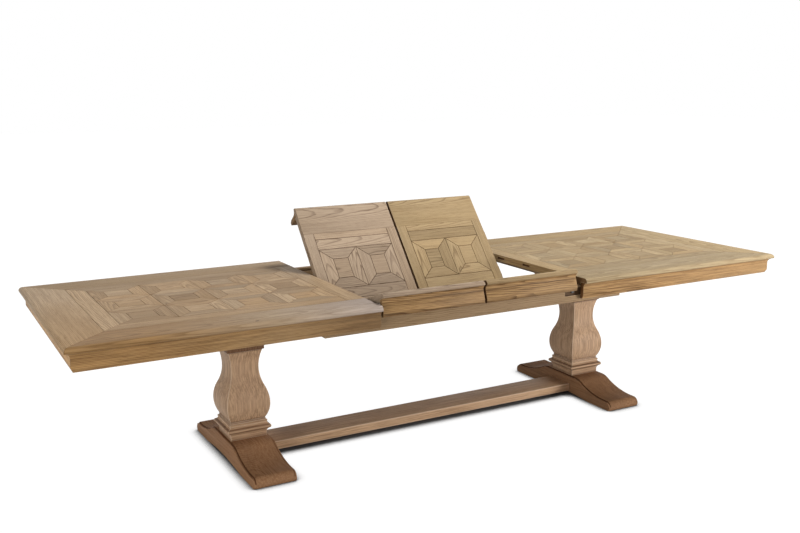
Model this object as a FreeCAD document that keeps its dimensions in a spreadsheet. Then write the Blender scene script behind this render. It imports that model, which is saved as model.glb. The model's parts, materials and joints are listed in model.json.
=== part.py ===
"""Extension table with two drawn half tops and two folding butterfly leaves.

Millimetres. X runs along the table, Y from its front to its back, Z up from the floor.
The origin is on the floor under the middle of the table. The leaves are half unfolded.
"""
import FreeCAD, Part
import math
import os
import re

import Sketcher

SIZES = {
    # whole table
    "table_height": 780,
    "table_width": 1200,
    "half_length": 1287,
    "leaf_length": 513,
    "gap_left": 11,
    "gap_middle": 12,
    "gap_right": 40,
    # edge of the tops
    "top_thickness": 34,
    "nose_height": 24,
    "nose_round": 19,
    "overhang": 24,
    "apron_drop": 102,
    "apron_thickness": 22,
    "cove_lip": 6,
    "cove_height": 20,
    "cove_radius": 24,
    "toe_bevel_in": 8,
    "toe_bevel_height": 16,
    # parquet of the half tops
    "parquet_thickness": 8,
    "parquet_joint": 0.5,
    "border_width": 178,
    "strip_width": 77,
    "seam_width": 85,
    "square_columns": 4,
    "square_rows": 3,
    "heart_size": 110,
    # parquet of the leaves
    "leaf_border": 165,
    "leaf_stile": 52,
    "leaf_thin_plank": 36,
    "leaf_wide_plank": 59,
    "leaf_square": 223,
    "leaf_squares": 2,
    "leaf_heart_along": 80,
    "leaf_heart_across": 108,
    # tongues and slots in the seams
    "tongue_length": 10,
    "tongue_width": 60,
    "tongue_height": 10,
    "tongue_root": 12,
    "slot_clearance": 1,
    "tongue_near": 113,
    "tongue_far": 330,
    # leaf pivot and fold
    "front_tilt": 20,
    "back_rise": 50.26,
    "pivot_inset": 160,
    "lug_height": 16,
    "lug_radius": 14,
    "lug_thickness": 20,
    "lug_depth": 34,
    "lug_spacing": 40,
    "rod_radius": 6,
    "rod_clearance": 0.1,
    "rod_overrun": 20,
    "collar_radius": 11,
    "collar_length": 8,
    "collar_gap": 0.3,
    "bracket_offset": 190,
    "bracket_plate": 6,
    "bracket_width": 44,
    "bracket_rise": 8,
    "bracket_height": 64,
    "eye_radius": 13,
    "screw_radius": 2.5,
    "screw_length": 18,
    "screw_head_radius": 5,
    "screw_head_height": 3,
    "screw_spread": 13,
    "screw_rise": 33,
    # hinges between the sections
    "hinge_gap": 0.3,
    "hinge_margin": 3,
    "hinge_leaf_width": 28,
    "hinge_leaf_thickness": 2.5,
    "knuckle_radius": 3,
    "knuckle_length": 14,
    "knuckle_play": 0.3,
    "hinge_pin_radius": 1.3,
    "hinge_pin_play": 0.1,
    # fixed frame under the tops
    "rail_overrun": 250,
    "rail_thickness": 28,
    "rail_depth": 80,
    "rail_gap": 4,
    "recess_lead": 90,
    "recess_length": 170,
    "recess_depth": 8,
    "recess_rise": 33,
    "recess_height": 36,
    "groove_drop": 10,
    "groove_height": 10,
    "groove_play": 0.5,
    "cross_rail_thickness": 28,
    "bearer_spread": 200,
    "bearer_width": 50,
    "bearer_overrun": 272,
    "bearer_gap": 0.3,
    "cross_bearer_half": 330,
    "cross_bearer_width": 120,
    "cross_bearer_depth": 62,
    "cross_bearer_bevel": 30,
    # slide runners
    "runner_clearance": 0.5,
    "runner_width": 35,
    "runner_depth": 46,
    "runner_length": 700,
    "runner_setback": 10,
    "runner_tongue": 10,
    "tongue_play": 0.3,
    "stop_drop": 32,
    "stop_setback": 40,
    "stop_reach": 14,
    "stop_slot_height": 14,
    "stop_play": 2,
    "stop_slot_length": 560,
    "bolt_radius": 4,
    "bolt_clearance": 0.25,
    "bolt_head_radius": 9,
    "bolt_head_height": 5,
    "rail_bolt_rise": 18,
    "rail_bolt_depth": 60,
    "counterbore_clearance": 1,
    "counterbore_depth": 6,
    # pedestals
    "pedestal_spread": 978,
    "foot_half_length": 411,
    "foot_width": 196,
    "foot_top": 104,
    "foot_step": 7,
    "foot_ledge": 10,
    "toe_top": 47,
    "toe_run": 46,
    "toe_radius": 30,
    "toe_undercut": 6,
    "toe_rise": 12,
    "slope_radius": 420,
    "shoulder_radius": 110,
    "shoulder_height": 18,
    "shoulder_start": 118,
    "shoulder_end": 180,
    "sole_start": 240,
    "sole_arch": 14,
    "plinth_half": 86,
    "plinth_height": 18,
    "plinth_cove": 22,
    "plinth_cove_radius": 26,
    "bead_half": 100,
    "bead_height": 16,
    "bead_radius": 10,
    "ring_half": 88,
    "ring_slope": 12,
    "ring_slope_radius": 16,
    "ring_height": 10,
    "ring_radius": 6.5,
    "rim_half": 84,
    "rim_height": 8,
    "neck_half": 82,
    "bulb_half": 103,
    "bulb_rise": 75,
    "waist_half": 66,
    "waist_share": 0.652174,
    "inflection": 0.48,
    "flare_half": 82,
    "cap_half": 88,
    "cap_height": 82,
    "tie_radius": 6,
    "tie_clearance": 0.25,
    "tie_recess": 16,
    "nut_radius": 13,
    "nut_height": 10,
    "nut_clearance": 2,
    # stretcher between the feet
    "stretcher_width": 166,
    "stretcher_thickness": 42,
    "stretcher_bottom": 20,
    "tenon_length": 25,
    "tenon_inset": 9,
    "tenon_clearance": 0.3,
}

PLACES = {
    "half_width": "table_width / 2",
    "top_underside": "table_height - top_thickness",
    "nose_lip": "nose_height - nose_round",
    "nose_underside": "table_height - nose_height",
    "parquet_bottom": "table_height - parquet_thickness",
    "seam": "(gap_left + 2 * leaf_length + gap_middle + gap_right) / 2",
    "table_end": "seam + half_length",
    "fascia": "half_width - overhang",
    "apron_inner": "fascia - apron_thickness",
    "end_fascia": "table_end - overhang",
    "end_apron_inner": "end_fascia - apron_thickness",
    "apron_bottom": "table_height - apron_drop",
    "cove_bottom": "nose_underside - cove_height",
    "bevel_top": "apron_bottom + toe_bevel_height",
    "border_inner": "half_width - border_width",
    "end_border_inner": "table_end - border_width",
    "seam_inner": "seam + seam_width",
    "left_leaf": "gap_left - seam",
    "right_leaf": "left_leaf + leaf_length + gap_middle",
    "pivot_line": "pivot_inset - half_width",
    "pivot_height": "top_underside - lug_height",
    "tongue_bottom": "table_height - tongue_root - tongue_height",
    "rail_outer": "apron_inner - rail_gap",
    "rail_inner": "rail_outer - rail_thickness",
    "rail_top": "top_underside - rail_gap",
    "rail_bottom": "rail_top - rail_depth",
    "rail_half_length": "seam + rail_overrun",
    "rail_bolt_height": "rail_bottom + rail_bolt_rise",
    "recess_near": "seam - recess_lead",
    "recess_bottom": "rail_bottom + recess_rise",
    "groove_bottom": "rail_top - groove_drop - groove_height",
    "groove_depth": "runner_tongue + groove_play",
    "cross_bearer_bottom": "rail_bottom - cross_bearer_depth",
    "bearer_reach": "pedestal_spread + bearer_overrun",
    "bracket_face": "rail_inner - bracket_plate",
    "lug_offset": "bracket_offset - lug_spacing",
    "rod_half_length": "bracket_offset + rod_overrun",
    "hinge_length": "leaf_stile - 2 * hinge_margin",
    "runner_outer": "rail_inner - runner_clearance",
    "runner_inner": "runner_outer - runner_width",
    "runner_bottom": "top_underside - runner_depth",
    "runner_start": "seam + runner_setback",
    "stop_place": "seam + stop_setback",
    "stop_height": "rail_top - stop_drop",
    "stop_slot_depth": "stop_reach + stop_play",
    "slot_start": "stop_place - bolt_radius - runner_clearance",
    "cross_rail_inner": "rail_half_length - cross_rail_thickness",
    "cross_rail_middle": "rail_half_length - cross_rail_thickness / 2",
    "bead_bottom": "foot_top + plinth_height + plinth_cove",
    "ring_bottom": "bead_bottom + bead_height + ring_slope",
    "rim_bottom": "ring_bottom + ring_height",
    "plinth_top": "rim_bottom + rim_height",
    "bulb_height": "plinth_top + bulb_rise",
    "flare_height": "cross_bearer_bottom - cap_height",
    "waist_rise": "waist_share * (flare_height - bulb_height)",
    "waist_height": "bulb_height + waist_rise",
    "flare_rise": "flare_height - waist_height",
    "turn_half": "bulb_half - inflection * (bulb_half - waist_half)",
    "turn_height": "bulb_height + inflection * waist_rise",
    "neck_curve": "((bulb_half - neck_half)^2 + bulb_rise^2) / (2 * (bulb_half - neck_half))",
    "bulb_run": "bulb_half - turn_half",
    "bulb_curve": "(bulb_run^2 + (turn_height - bulb_height)^2) / (2 * bulb_run)",
    "waist_run": "turn_half - waist_half",
    "waist_curve": "(waist_run^2 + (waist_height - turn_height)^2) / (2 * waist_run)",
    "flare_curve": "((flare_half - waist_half)^2 + flare_rise^2) / (2 * (flare_half - waist_half))",
    "sole_curve": "(sole_start^2 + sole_arch^2) / (2 * sole_arch)",
    "foot_inner": "pedestal_spread - foot_width / 2",
    "tie_top": "rail_bottom - nut_clearance",
}

LEFT, RIGHT = -1, 1
FRONT, BACK = -1, 1
SIDES = {LEFT: "left", RIGHT: "right"}
ENDS = {FRONT: "front", BACK: "back"}
LEAVES = {"left": "left_leaf", "right": "right_leaf"}

doc = FreeCAD.newDocument("ExtensionTable")
pieces = []


def make_sheet(name, entries):
    """A spreadsheet with one row for each name: its note in column A, its value in column B."""
    sheet = doc.addObject("Spreadsheet::Sheet", name)
    for row, (alias, value) in enumerate(entries.items(), start=1):
        sheet.set(f"A{row}", alias.replace("_", " "))
        sheet.set(f"B{row}", str(value))
        sheet.setAlias(f"B{row}", alias)
    doc.recompute()
    return sheet


def bound(text):
    """The expression for a formula written in plain size names."""
    def lookup(match):
        word = match.group(0)
        return f"Sizes.{word}" if word in SIZES else f"Places.{word}"
    return re.sub(r"[a-z][a-z_]*", lookup, str(text))


def size(text):
    """The number that a formula of size names comes to."""
    def lookup(match):
        word = match.group(0)
        holder = sizes if word in SIZES else places
        return repr(float(getattr(holder, word)))
    return float(FreeCAD.Units.Quantity(re.sub(r"[a-z][a-z_]*", lookup, str(text))).Value)


def piece(made, label):
    """Keep an object as one of the table's sub-parts under its own label."""
    made.Label = label
    pieces.append(made)
    return made


def box(x, y, z, along, across, high, name="Block"):
    """A block from its lowest corner and its three sizes, all bound to the sheet."""
    made = doc.addObject("Part::Box", name)
    bindings = {"Length": along, "Width": across, "Height": high}
    bindings.update({"Placement.Base.x": x, "Placement.Base.y": y, "Placement.Base.z": z})
    for target, text in bindings.items():
        made.setExpression(target, bound(text))
    return made


def rod(x, y, z, radius, length, axis="Z", name="Rod"):
    """A round bar from the middle of its first end, along +X, +Y or +Z."""
    turns = {
        "X": FreeCAD.Rotation(FreeCAD.Vector(0, 1, 0), 90),
        "Y": FreeCAD.Rotation(FreeCAD.Vector(1, 0, 0), -90),
        "Z": FreeCAD.Rotation(),
    }
    made = doc.addObject("Part::Cylinder", name)
    made.Placement = FreeCAD.Placement(FreeCAD.Vector(), turns[axis])
    bindings = {"Radius": radius, "Height": length}
    bindings.update({"Placement.Base.x": x, "Placement.Base.y": y, "Placement.Base.z": z})
    for target, text in bindings.items():
        made.setExpression(target, bound(text))
    return made


def fuse(parts, name="Joined"):
    """One solid of several."""
    made = doc.addObject("Part::MultiFuse", name)
    made.Shapes = parts
    return made


def cut(base, tools, name="Cut"):
    """A solid with one or more others taken out of it."""
    made = doc.addObject("Part::Cut", name)
    made.Base = base
    made.Tool = tools[0] if len(tools) == 1 else fuse(tools, name + "Tools")
    return made


def common(first, second, name="Common"):
    """What two solids share."""
    made = doc.addObject("Part::Common", name)
    made.Base = first
    made.Tool = second
    return made


def group(parts, name="Group"):
    """Several separate solids in one node."""
    made = doc.addObject("Part::Compound", name)
    made.Links = parts
    return made


def arc_between(tail, head, signed_radius):
    """The arc of less than a half circle between two points, turning left for a positive radius."""
    radius = abs(signed_radius)
    middle = (tail + head) * 0.5
    chord = head - tail
    reach = math.sqrt(max(radius ** 2 - (chord.Length / 2) ** 2, 0.0))
    left = FreeCAD.Vector(-chord.y, chord.x, 0).normalize()
    centre = middle + left * math.copysign(reach, signed_radius)
    circle = Part.Circle(centre, FreeCAD.Vector(0, 0, 1), radius)
    angles = [math.atan2(point.y - centre.y, point.x - centre.x) for point in (tail, head)]
    if signed_radius < 0:
        angles.reverse()
    return Part.ArcOfCircle(circle, *angles)


def profile(outline, plane, start, length, name="Profile"):
    """A body padded from a closed outline on one of its own origin planes.

    Each corner is (first, second) or (first, second, turn, radius): with a radius, the stretch
    to the next corner is an arc that turns left (1) or right (-1).
    """
    body = doc.addObject("PartDesign::Body", name)
    sketch = body.newObject("Sketcher::SketchObject", name + "Outline")
    origin_plane = next(f for f in body.Origin.OriginFeatures if f.Role == plane)
    sketch.AttachmentSupport = [(origin_plane, "")]
    sketch.MapMode = "FlatFace"
    sketch.setExpression("AttachmentOffset.Base.z", bound(start))
    points = [FreeCAD.Vector(size(corner[0]), size(corner[1]), 0) for corner in outline]
    tails, heads = [], []
    for index, corner in enumerate(outline):
        tail, head = points[index], points[(index + 1) % len(points)]
        if len(corner) == 2:
            sketch.addGeometry(Part.LineSegment(tail, head))
            turn = 1
        else:
            turn = corner[2]
            sketch.addGeometry(arc_between(tail, head, turn * size(corner[3])))
        tails.append(1 if turn > 0 else 2)
        heads.append(2 if turn > 0 else 1)
    for index, corner in enumerate(outline):
        following = (index + 1) % len(outline)
        sketch.addConstraint(Sketcher.Constraint(
            "Coincident", index, heads[index], following, tails[following]))
    for index, corner in enumerate(outline):
        names = ("DistanceX", "DistanceY")
        for kind, text, value in zip(names, corner, (points[index].x, points[index].y)):
            rule = Sketcher.Constraint(kind, -1, 1, index, tails[index], value)
            sketch.setExpression(f"Constraints[{sketch.addConstraint(rule)}]", bound(text))
        if len(corner) == 4:
            rule = Sketcher.Constraint("Radius", index, size(corner[3]))
            sketch.setExpression(f"Constraints[{sketch.addConstraint(rule)}]", bound(corner[3]))
    pad = body.newObject("PartDesign::Pad", name + "Pad")
    pad.Profile = sketch
    pad.setExpression("Length", bound(length))
    return body


def turned_square(half_outline, middle, widest, label):
    """A square post whose four sides follow the same half outline, from the bottom up."""
    def closed(centre):
        rising = [(f"{centre} + {corner[0]}",) + tuple(corner[1:]) for corner in half_outline]
        falling = []
        for index in range(len(half_outline) - 1, -1, -1):
            arc = tuple(half_outline[index - 1][2:]) if index else ()
            falling.append((f"{centre} - ({half_outline[index][0]})", half_outline[index][1]) + arc)
        return rising + falling

    depth = f"2 * ({widest})"
    seen_from_front = profile(closed(middle), "XZ_Plane", f"-({widest})", depth, label + "Front")
    seen_from_side = profile(closed("0"), "YZ_Plane", f"{middle} - ({widest})", depth, label + "Side")
    return common(seen_from_front, seen_from_side, label + "Post")


def prism(points, bottom, top):
    """An upright prism on a plan outline of plain numbers."""
    corners = [FreeCAD.Vector(x, y, bottom) for x, y in points]
    face = Part.Face(Part.makePolygon(corners + corners[:1]))
    return face.extrude(FreeCAD.Vector(0, 0, top - bottom))


def inset(points, distance):
    """A convex plan outline, counter-clockwise, drawn in by the same distance on every side."""
    lines = []
    for (ax, ay), (bx, by) in zip(points, points[1:] + points[:1]):
        length = math.hypot(bx - ax, by - ay)
        normal = ((ay - by) / length, (bx - ax) / length)
        lines.append((normal, normal[0] * ax + normal[1] * ay + distance))
    drawn_in = []
    for (first, reach), (second, next_reach) in zip(lines[-1:] + lines[:-1], lines):
        turn = first[0] * second[1] - first[1] * second[0]
        x = (reach * second[1] - next_reach * first[1]) / turn
        y = (next_reach * first[0] - reach * second[0]) / turn
        drawn_in.append((x, y))
    return drawn_in


def counter_clockwise(points):
    """The same plan outline in counter-clockwise order."""
    area = sum(ax * by - bx * ay for (ax, ay), (bx, by) in zip(points, points[1:] + points[:1]))
    return points if area > 0 else points[::-1]


def rectangle(x0, y0, x1, y1):
    """The plan outline of a rectangle between two corners."""
    return [(x0, y0), (x1, y0), (x1, y1), (x0, y1)]


def framed_square(x0, y0, x1, y1, along, across):
    """The five plan outlines of a square: its heart and the four mitred boards round it."""
    outer = rectangle(x0, y0, x1, y1)
    mx, my = (x0 + x1) / 2, (y0 + y1) / 2
    heart = rectangle(mx - along / 2, my - across / 2, mx + along / 2, my + across / 2)
    boards = []
    for index in range(4):
        following = (index + 1) % 4
        boards.append([outer[index], outer[following], heart[following], heart[index]])
    return boards + [heart]


def parquet(outlines, label):
    """One node of separate parquet pieces, each drawn in by half of the joint."""
    joint = size("parquet_joint")
    solids = []
    for outline in outlines:
        drawn_in = inset(counter_clockwise(outline), joint / 2)
        solids.append(prism(drawn_in, size("parquet_bottom"), size("table_height")))
    made = doc.addObject("Part::Feature", "Parquet")
    made.Shape = Part.makeCompound(solids)
    return piece(made, label)


def nosed_outline(sign, outer, inner, apron_face):
    """Section of a top plank with a round nose and a rebate for the apron under it."""
    return [
        (f"{sign} * {inner}", "table_height"),
        (f"{sign} * ({outer} - nose_round)", "table_height", -sign, "nose_round"),
        (f"{sign} * {outer}", "table_height - nose_round", -sign, "nose_lip"),
        (f"{sign} * ({outer} - nose_lip)", "nose_underside"),
        (f"{sign} * {apron_face}", "nose_underside"),
        (f"{sign} * {apron_face}", "top_underside"),
        (f"{sign} * {inner}", "top_underside"),
    ]


def apron_outline(sign, outer, face, inner):
    """Section of an apron: a cove under the nose, a plain face and a bevelled foot."""
    return [
        (f"{sign} * {inner}", "nose_underside"),
        (f"{sign} * ({outer} - cove_lip)", "nose_underside", sign, "cove_radius"),
        (f"{sign} * {face}", "cove_bottom"),
        (f"{sign} * {face}", "bevel_top"),
        (f"{sign} * ({face} - toe_bevel_in)", "apron_bottom"),
        (f"{sign} * {inner}", "apron_bottom"),
    ]


def seam_slots(x, z_bottom, marks):
    """Cutters for the slots that take the tongues of the next top, along one seam."""
    return [box(
        x, f"{mark} - tongue_width / 2 - slot_clearance", f"{z_bottom} - slot_clearance / 2",
        "tongue_length + slot_clearance", "tongue_width + 2 * slot_clearance",
        "tongue_height + slot_clearance", "Slot") for mark in marks]


def seam_tongues(x, marks):
    """Tongues that stand out of an edge."""
    return [box(
        x, f"{mark} - tongue_width / 2", "tongue_bottom",
        "tongue_length", "tongue_width", "tongue_height", "Tongue") for mark in marks]


def feet():
    """Two feet with an ogee top, a stepped arris and a hollow sole."""
    def outline(drop):
        half = [
            ("sole_start", "0"),
            ("foot_half_length - toe_undercut", "0"),
            ("foot_half_length", "toe_rise", 1, "toe_radius"),
            ("foot_half_length - toe_radius", f"toe_top - {drop}"),
            ("foot_half_length - toe_run", f"toe_top - {drop}", -1, "slope_radius"),
            ("shoulder_end", f"foot_top - shoulder_height - {drop}", 1, "shoulder_radius"),
            ("shoulder_start", f"foot_top - {drop}"),
        ]
        back = []
        for index in range(len(half) - 1, -1, -1):
            arc = tuple(half[index - 1][2:]) if index else (-1, "sole_curve")
            back.append((f"-({half[index][0]})", half[index][1]) + arc)
        return half + back

    for side, word in SIDES.items():
        middle = f"{side} * pedestal_spread"
        wide = profile(
            outline("foot_step"), "YZ_Plane", f"{middle} - foot_width / 2", "foot_width", "FootWide")
        narrow = profile(
            outline("0"), "YZ_Plane", f"{middle} - foot_width / 2 + foot_ledge",
            "foot_width - 2 * foot_ledge", "FootCrown")
        mortise_start = "foot_inner" if side == RIGHT else "-(foot_inner + tenon_length + tenon_clearance)"
        mortise = box(
            mortise_start, "-(stretcher_width / 2 - tenon_inset + tenon_clearance)",
            "stretcher_bottom + tenon_inset - tenon_clearance",
            "tenon_length + tenon_clearance", "stretcher_width - 2 * tenon_inset + 2 * tenon_clearance",
            "stretcher_thickness - 2 * tenon_inset + 2 * tenon_clearance", "Mortise")
        bore = rod(middle, "0", "0", "tie_radius + tie_clearance", "foot_top", "Z", "TieBore")
        nut_recess = rod(
            middle, "0", "0", "nut_radius + nut_clearance", "sole_arch + tie_recess", "Z", "NutRecess")
        piece(cut(fuse([wide, narrow], "Foot"), [mortise, bore, nut_recess], "FootCut"), f"{word}_foot")


def pedestals():
    """Plinths and square balusters, bored for the tie rods."""
    plinth = [
        ("plinth_half", "foot_top"),
        ("plinth_half", "foot_top + plinth_height", -1, "plinth_cove_radius"),
        ("bead_half", "bead_bottom", 1, "bead_radius"),
        ("bead_half", "bead_bottom + bead_height", -1, "ring_slope_radius"),
        ("ring_half", "ring_bottom", 1, "ring_radius"),
        ("ring_half", "rim_bottom"),
        ("rim_half", "rim_bottom"),
        ("rim_half", "plinth_top"),
    ]
    baluster = [
        ("neck_half", "plinth_top", 1, "neck_curve"),
        ("bulb_half", "bulb_height", 1, "bulb_curve"),
        ("turn_half", "turn_height", -1, "waist_curve"),
        ("waist_half", "waist_height", -1, "flare_curve"),
        ("flare_half", "flare_height"),
        ("cap_half", "flare_height"),
        ("cap_half", "cross_bearer_bottom"),
    ]
    for side, word in SIDES.items():
        middle = f"{side} * pedestal_spread"
        for outline, widest, name in (
                (plinth, "bead_half + bead_radius", "plinth"), (baluster, "bulb_half", "baluster")):
            post = turned_square(outline, middle, widest, name.capitalize())
            bore = rod(
                middle, "0", outline[0][1], "tie_radius + tie_clearance",
                f"{outline[-1][1]} - ({outline[0][1]})", "Z", "TieBore")
            piece(cut(post, [bore], name.capitalize() + "Bored"), f"{word}_{name}")


def stretcher():
    """The board that ties the two feet, with a tenon at each end."""
    board = box(
        "-foot_inner", "-stretcher_width / 2", "stretcher_bottom",
        "2 * foot_inner", "stretcher_width", "stretcher_thickness", "StretcherBoard")
    tenons = box(
        "-(foot_inner + tenon_length)", "-(stretcher_width / 2 - tenon_inset)",
        "stretcher_bottom + tenon_inset",
        "2 * (foot_inner + tenon_length)", "stretcher_width - 2 * tenon_inset",
        "stretcher_thickness - 2 * tenon_inset", "StretcherTenons")
    piece(fuse([board, tenons], "Stretcher"), "stretcher")


def tie_rods():
    """A tie rod through each pedestal, with a nut at both ends."""
    rods, nuts = [], []
    for side in SIDES:
        middle = f"{side} * pedestal_spread"
        rods.append(rod(
            middle, "0", "sole_arch + nut_clearance", "tie_radius",
            "tie_top - sole_arch - nut_clearance", "Z", "TieRod"))
        for bottom in ("sole_arch + tie_recess - nut_height", "rail_bottom - tie_recess"):
            ring = rod(middle, "0", bottom, "nut_radius", "nut_height", "Z", "Nut")
            hole = rod(middle, "0", bottom, "tie_radius", "nut_height", "Z", "NutHole")
            nuts.append(cut(ring, [hole], "TieNut"))
    piece(group(rods), "tie_rods")
    piece(group(nuts), "tie_rod_nuts")


def bearers():
    """Cross bearers on the balusters and the runner bearers that lie across them."""
    for side, word in SIDES.items():
        middle = f"{side} * pedestal_spread"
        outline = [
            ("-(cross_bearer_half - cross_bearer_bevel)", "cross_bearer_bottom"),
            ("cross_bearer_half - cross_bearer_bevel", "cross_bearer_bottom"),
            ("cross_bearer_half", "cross_bearer_bottom + cross_bearer_bevel"),
            ("cross_bearer_half", "rail_bottom"),
            ("-cross_bearer_half", "rail_bottom"),
            ("-cross_bearer_half", "cross_bearer_bottom + cross_bearer_bevel"),
        ]
        beam = profile(
            outline, "YZ_Plane", f"{middle} - cross_bearer_width / 2", "cross_bearer_width", "CrossBearer")
        bore = rod(
            middle, "0", "cross_bearer_bottom", "tie_radius + tie_clearance",
            "rail_bottom - cross_bearer_bottom", "Z", "TieBore")
        recess = rod(
            middle, "0", "rail_bottom - tie_recess",
            "nut_radius + nut_clearance", "tie_recess", "Z", "NutRecess")
        piece(cut(beam, [bore, recess], "CrossBearerBored"), f"{word}_cross_bearer")
    beams = []
    for start in ("rail_half_length", "-bearer_reach"):
        for end in ENDS:
            beams.append(box(
                start, f"{end} * bearer_spread - bearer_width / 2", "rail_bottom",
                "bearer_reach - rail_half_length", "bearer_width",
                "top_underside - bearer_gap - rail_bottom", "RunnerBearer"))
    piece(group(beams), "runner_bearers")


def side_rails():
    """Front and back rails: grooved inside for the runners, recessed outside for the stop bolts."""
    for end, word in ENDS.items():
        near = "rail_inner" if end == BACK else "-rail_outer"
        rail = box(
            "-rail_half_length", near, "rail_bottom",
            "2 * rail_half_length", "rail_thickness", "rail_depth", "Rail")
        groove_near = "rail_inner" if end == BACK else "-rail_inner - groove_depth"
        tools = [box(
            "-rail_half_length", groove_near, "groove_bottom",
            "2 * rail_half_length", "groove_depth", "groove_height", "Groove")]
        recess_near = "rail_outer - recess_depth" if end == BACK else "-rail_outer"
        for start in ("recess_near", "-(recess_near + recess_length)"):
            tools.append(box(
                start, recess_near, "recess_bottom",
                "recess_length", "recess_depth", "recess_height", "Recess"))
        for side in SIDES:
            tools.append(rod(
                f"{side} * stop_place", near, "stop_height",
                "bolt_radius + bolt_clearance", "rail_thickness", "Y", "StopBore"))
            tools.append(rod(
                f"{side} * cross_rail_middle", near, "rail_bolt_height",
                "bolt_radius + bolt_clearance", "rail_thickness", "Y", "BoltBore"))
            bore_near = "rail_outer - counterbore_depth" if end == BACK else "-rail_outer"
            tools.append(rod(
                f"{side} * cross_rail_middle", bore_near, "rail_bolt_height",
                "bolt_head_radius + counterbore_clearance", "counterbore_depth", "Y", "Counterbore"))
        if end == FRONT:
            for x in bracket_screw_places():
                tools.append(rod(
                    x, "-rail_inner - screw_length", "rail_bottom + screw_rise",
                    "screw_radius", "screw_length", "Y", "ScrewHole"))
        piece(cut(rail, tools, "RailCut"), f"{word}_side_rail")


def cross_rails():
    """Rails across the frame, stepped down at their ends to let the runners by."""
    rails = []
    for side in SIDES:
        start = "cross_rail_inner" if side == RIGHT else "-rail_half_length"
        beam = box(
            start, "-rail_inner", "rail_bottom",
            "cross_rail_thickness", "2 * rail_inner", "rail_depth", "CrossRail")
        tools = []
        for end in ENDS:
            near = "-rail_inner" if end == FRONT else "runner_inner - rail_gap / 2"
            tools.append(box(
                start, near, "runner_bottom - rail_gap / 2", "cross_rail_thickness",
                "rail_inner - runner_inner + rail_gap / 2",
                "rail_top - runner_bottom + rail_gap / 2", "RunnerStep"))
            bore_near = "-rail_inner" if end == FRONT else "rail_inner - rail_bolt_depth"
            tools.append(rod(
                f"{side} * cross_rail_middle", bore_near, "rail_bolt_height",
                "bolt_radius + bolt_clearance", "rail_bolt_depth", "Y", "BoltBore"))
        rails.append(cut(beam, tools, "CrossRailCut"))
    piece(group(rails), "cross_rails")


def headed_bolt(x, end, seat, tip, height, name):
    """A bolt along Y: its head stands on the seat towards the outside, its shank ends at the tip."""
    shank_start = f"{tip}" if end == BACK else f"-({seat})"
    head_start = f"{seat}" if end == BACK else f"-({seat}) - bolt_head_height"
    shank = rod(x, shank_start, height, "bolt_radius", f"{seat} - ({tip})", "Y", name + "Shank")
    head = rod(x, head_start, height, "bolt_head_radius", "bolt_head_height", "Y", name + "Head")
    return fuse([shank, head], name)


def frame_bolts():
    """Bolts of the cross rails, and the stop bolts that end the draw of the runners."""
    rail_bolts, stop_bolts = [], []
    for side in SIDES:
        for end in ENDS:
            rail_bolts.append(headed_bolt(
                f"{side} * cross_rail_middle", end, "rail_outer - counterbore_depth",
                "rail_inner - rail_bolt_depth + bolt_clearance", "rail_bolt_height", "RailBolt"))
            stop_bolts.append(headed_bolt(
                f"{side} * stop_place", end, "rail_outer - recess_depth",
                "rail_inner - stop_reach", "stop_height", "StopBolt"))
    piece(group(rail_bolts), "rail_bolts")
    piece(group(stop_bolts), "stop_bolts")


def bracket_places():
    """Middles of the pivot brackets along the table: two for each leaf."""
    middles = [f"{start} + leaf_length / 2" for start in LEAVES.values()]
    return [f"{middle} {sign} bracket_offset" for middle in middles for sign in "-+"]


def bracket_screw_places():
    """Middles of the bracket screws along the table: one each side of every bracket's web."""
    return [f"{x} {sign} screw_spread" for x in bracket_places() for sign in "-+"]


def pivot_brackets():
    """Steel brackets on the front rail that carry the pivot rods, and their screws."""
    brackets, screws = [], []
    for x in bracket_places():
        flange = box(
            f"{x} - bracket_width / 2", "-rail_inner", "rail_bottom + bracket_rise",
            "bracket_width", "bracket_plate", "bracket_height", "Flange")
        web_outline = [
            ("-bracket_face", "rail_bottom + bracket_rise"),
            ("pivot_line", "pivot_height - eye_radius"),
            ("pivot_line", "pivot_height + eye_radius"),
            ("-bracket_face", "rail_bottom + bracket_rise + bracket_height"),
        ]
        web = profile(web_outline, "YZ_Plane", f"{x} - bracket_plate / 2", "bracket_plate", "Web")
        eye_place = (f"{x} - bracket_plate / 2", "pivot_line", "pivot_height")
        eye = rod(*eye_place, "eye_radius", "bracket_plate", "X", "Eye")
        tools = [rod(*eye_place, "rod_radius + rod_clearance", "bracket_plate", "X", "EyeBore")]
        for sign in "-+":
            place = f"{x} {sign} screw_spread"
            tools.append(rod(
                place, "-rail_inner", "rail_bottom + screw_rise",
                "screw_radius", "bracket_plate", "Y", "ScrewHole"))
            shank = rod(
                place, "-rail_inner - screw_length", "rail_bottom + screw_rise",
                "screw_radius", "screw_length + bracket_plate", "Y", "ScrewShank")
            head = rod(
                place, "-bracket_face", "rail_bottom + screw_rise",
                "screw_head_radius", "screw_head_height", "Y", "ScrewHead")
            screws.append(fuse([shank, head], "Screw"))
        brackets.append(cut(fuse([flange, web, eye], "Bracket"), tools, "BracketBored"))
    piece(group(brackets), "pivot_brackets")
    piece(group(screws), "bracket_screws")


def pivot_rods():
    """The rods that the leaves turn on, each with two collars against the lugs."""
    for word, start in LEAVES.items():
        middle = f"{start} + leaf_length / 2"
        bar = rod(
            f"{middle} - rod_half_length", "pivot_line", "pivot_height",
            "rod_radius", "2 * rod_half_length", "X", "PivotBar")
        collar_reach = "lug_offset - lug_thickness / 2 - collar_gap"
        collars = [
            rod(f"{middle} - ({collar_reach})", "pivot_line", "pivot_height",
                "collar_radius", "collar_length", "X", "Collar"),
            rod(f"{middle} + {collar_reach} - collar_length", "pivot_line", "pivot_height",
                "collar_radius", "collar_length", "X", "Collar"),
        ]
        piece(fuse([bar] + collars, "PivotRod"), f"{word}_pivot_rod")


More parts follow.
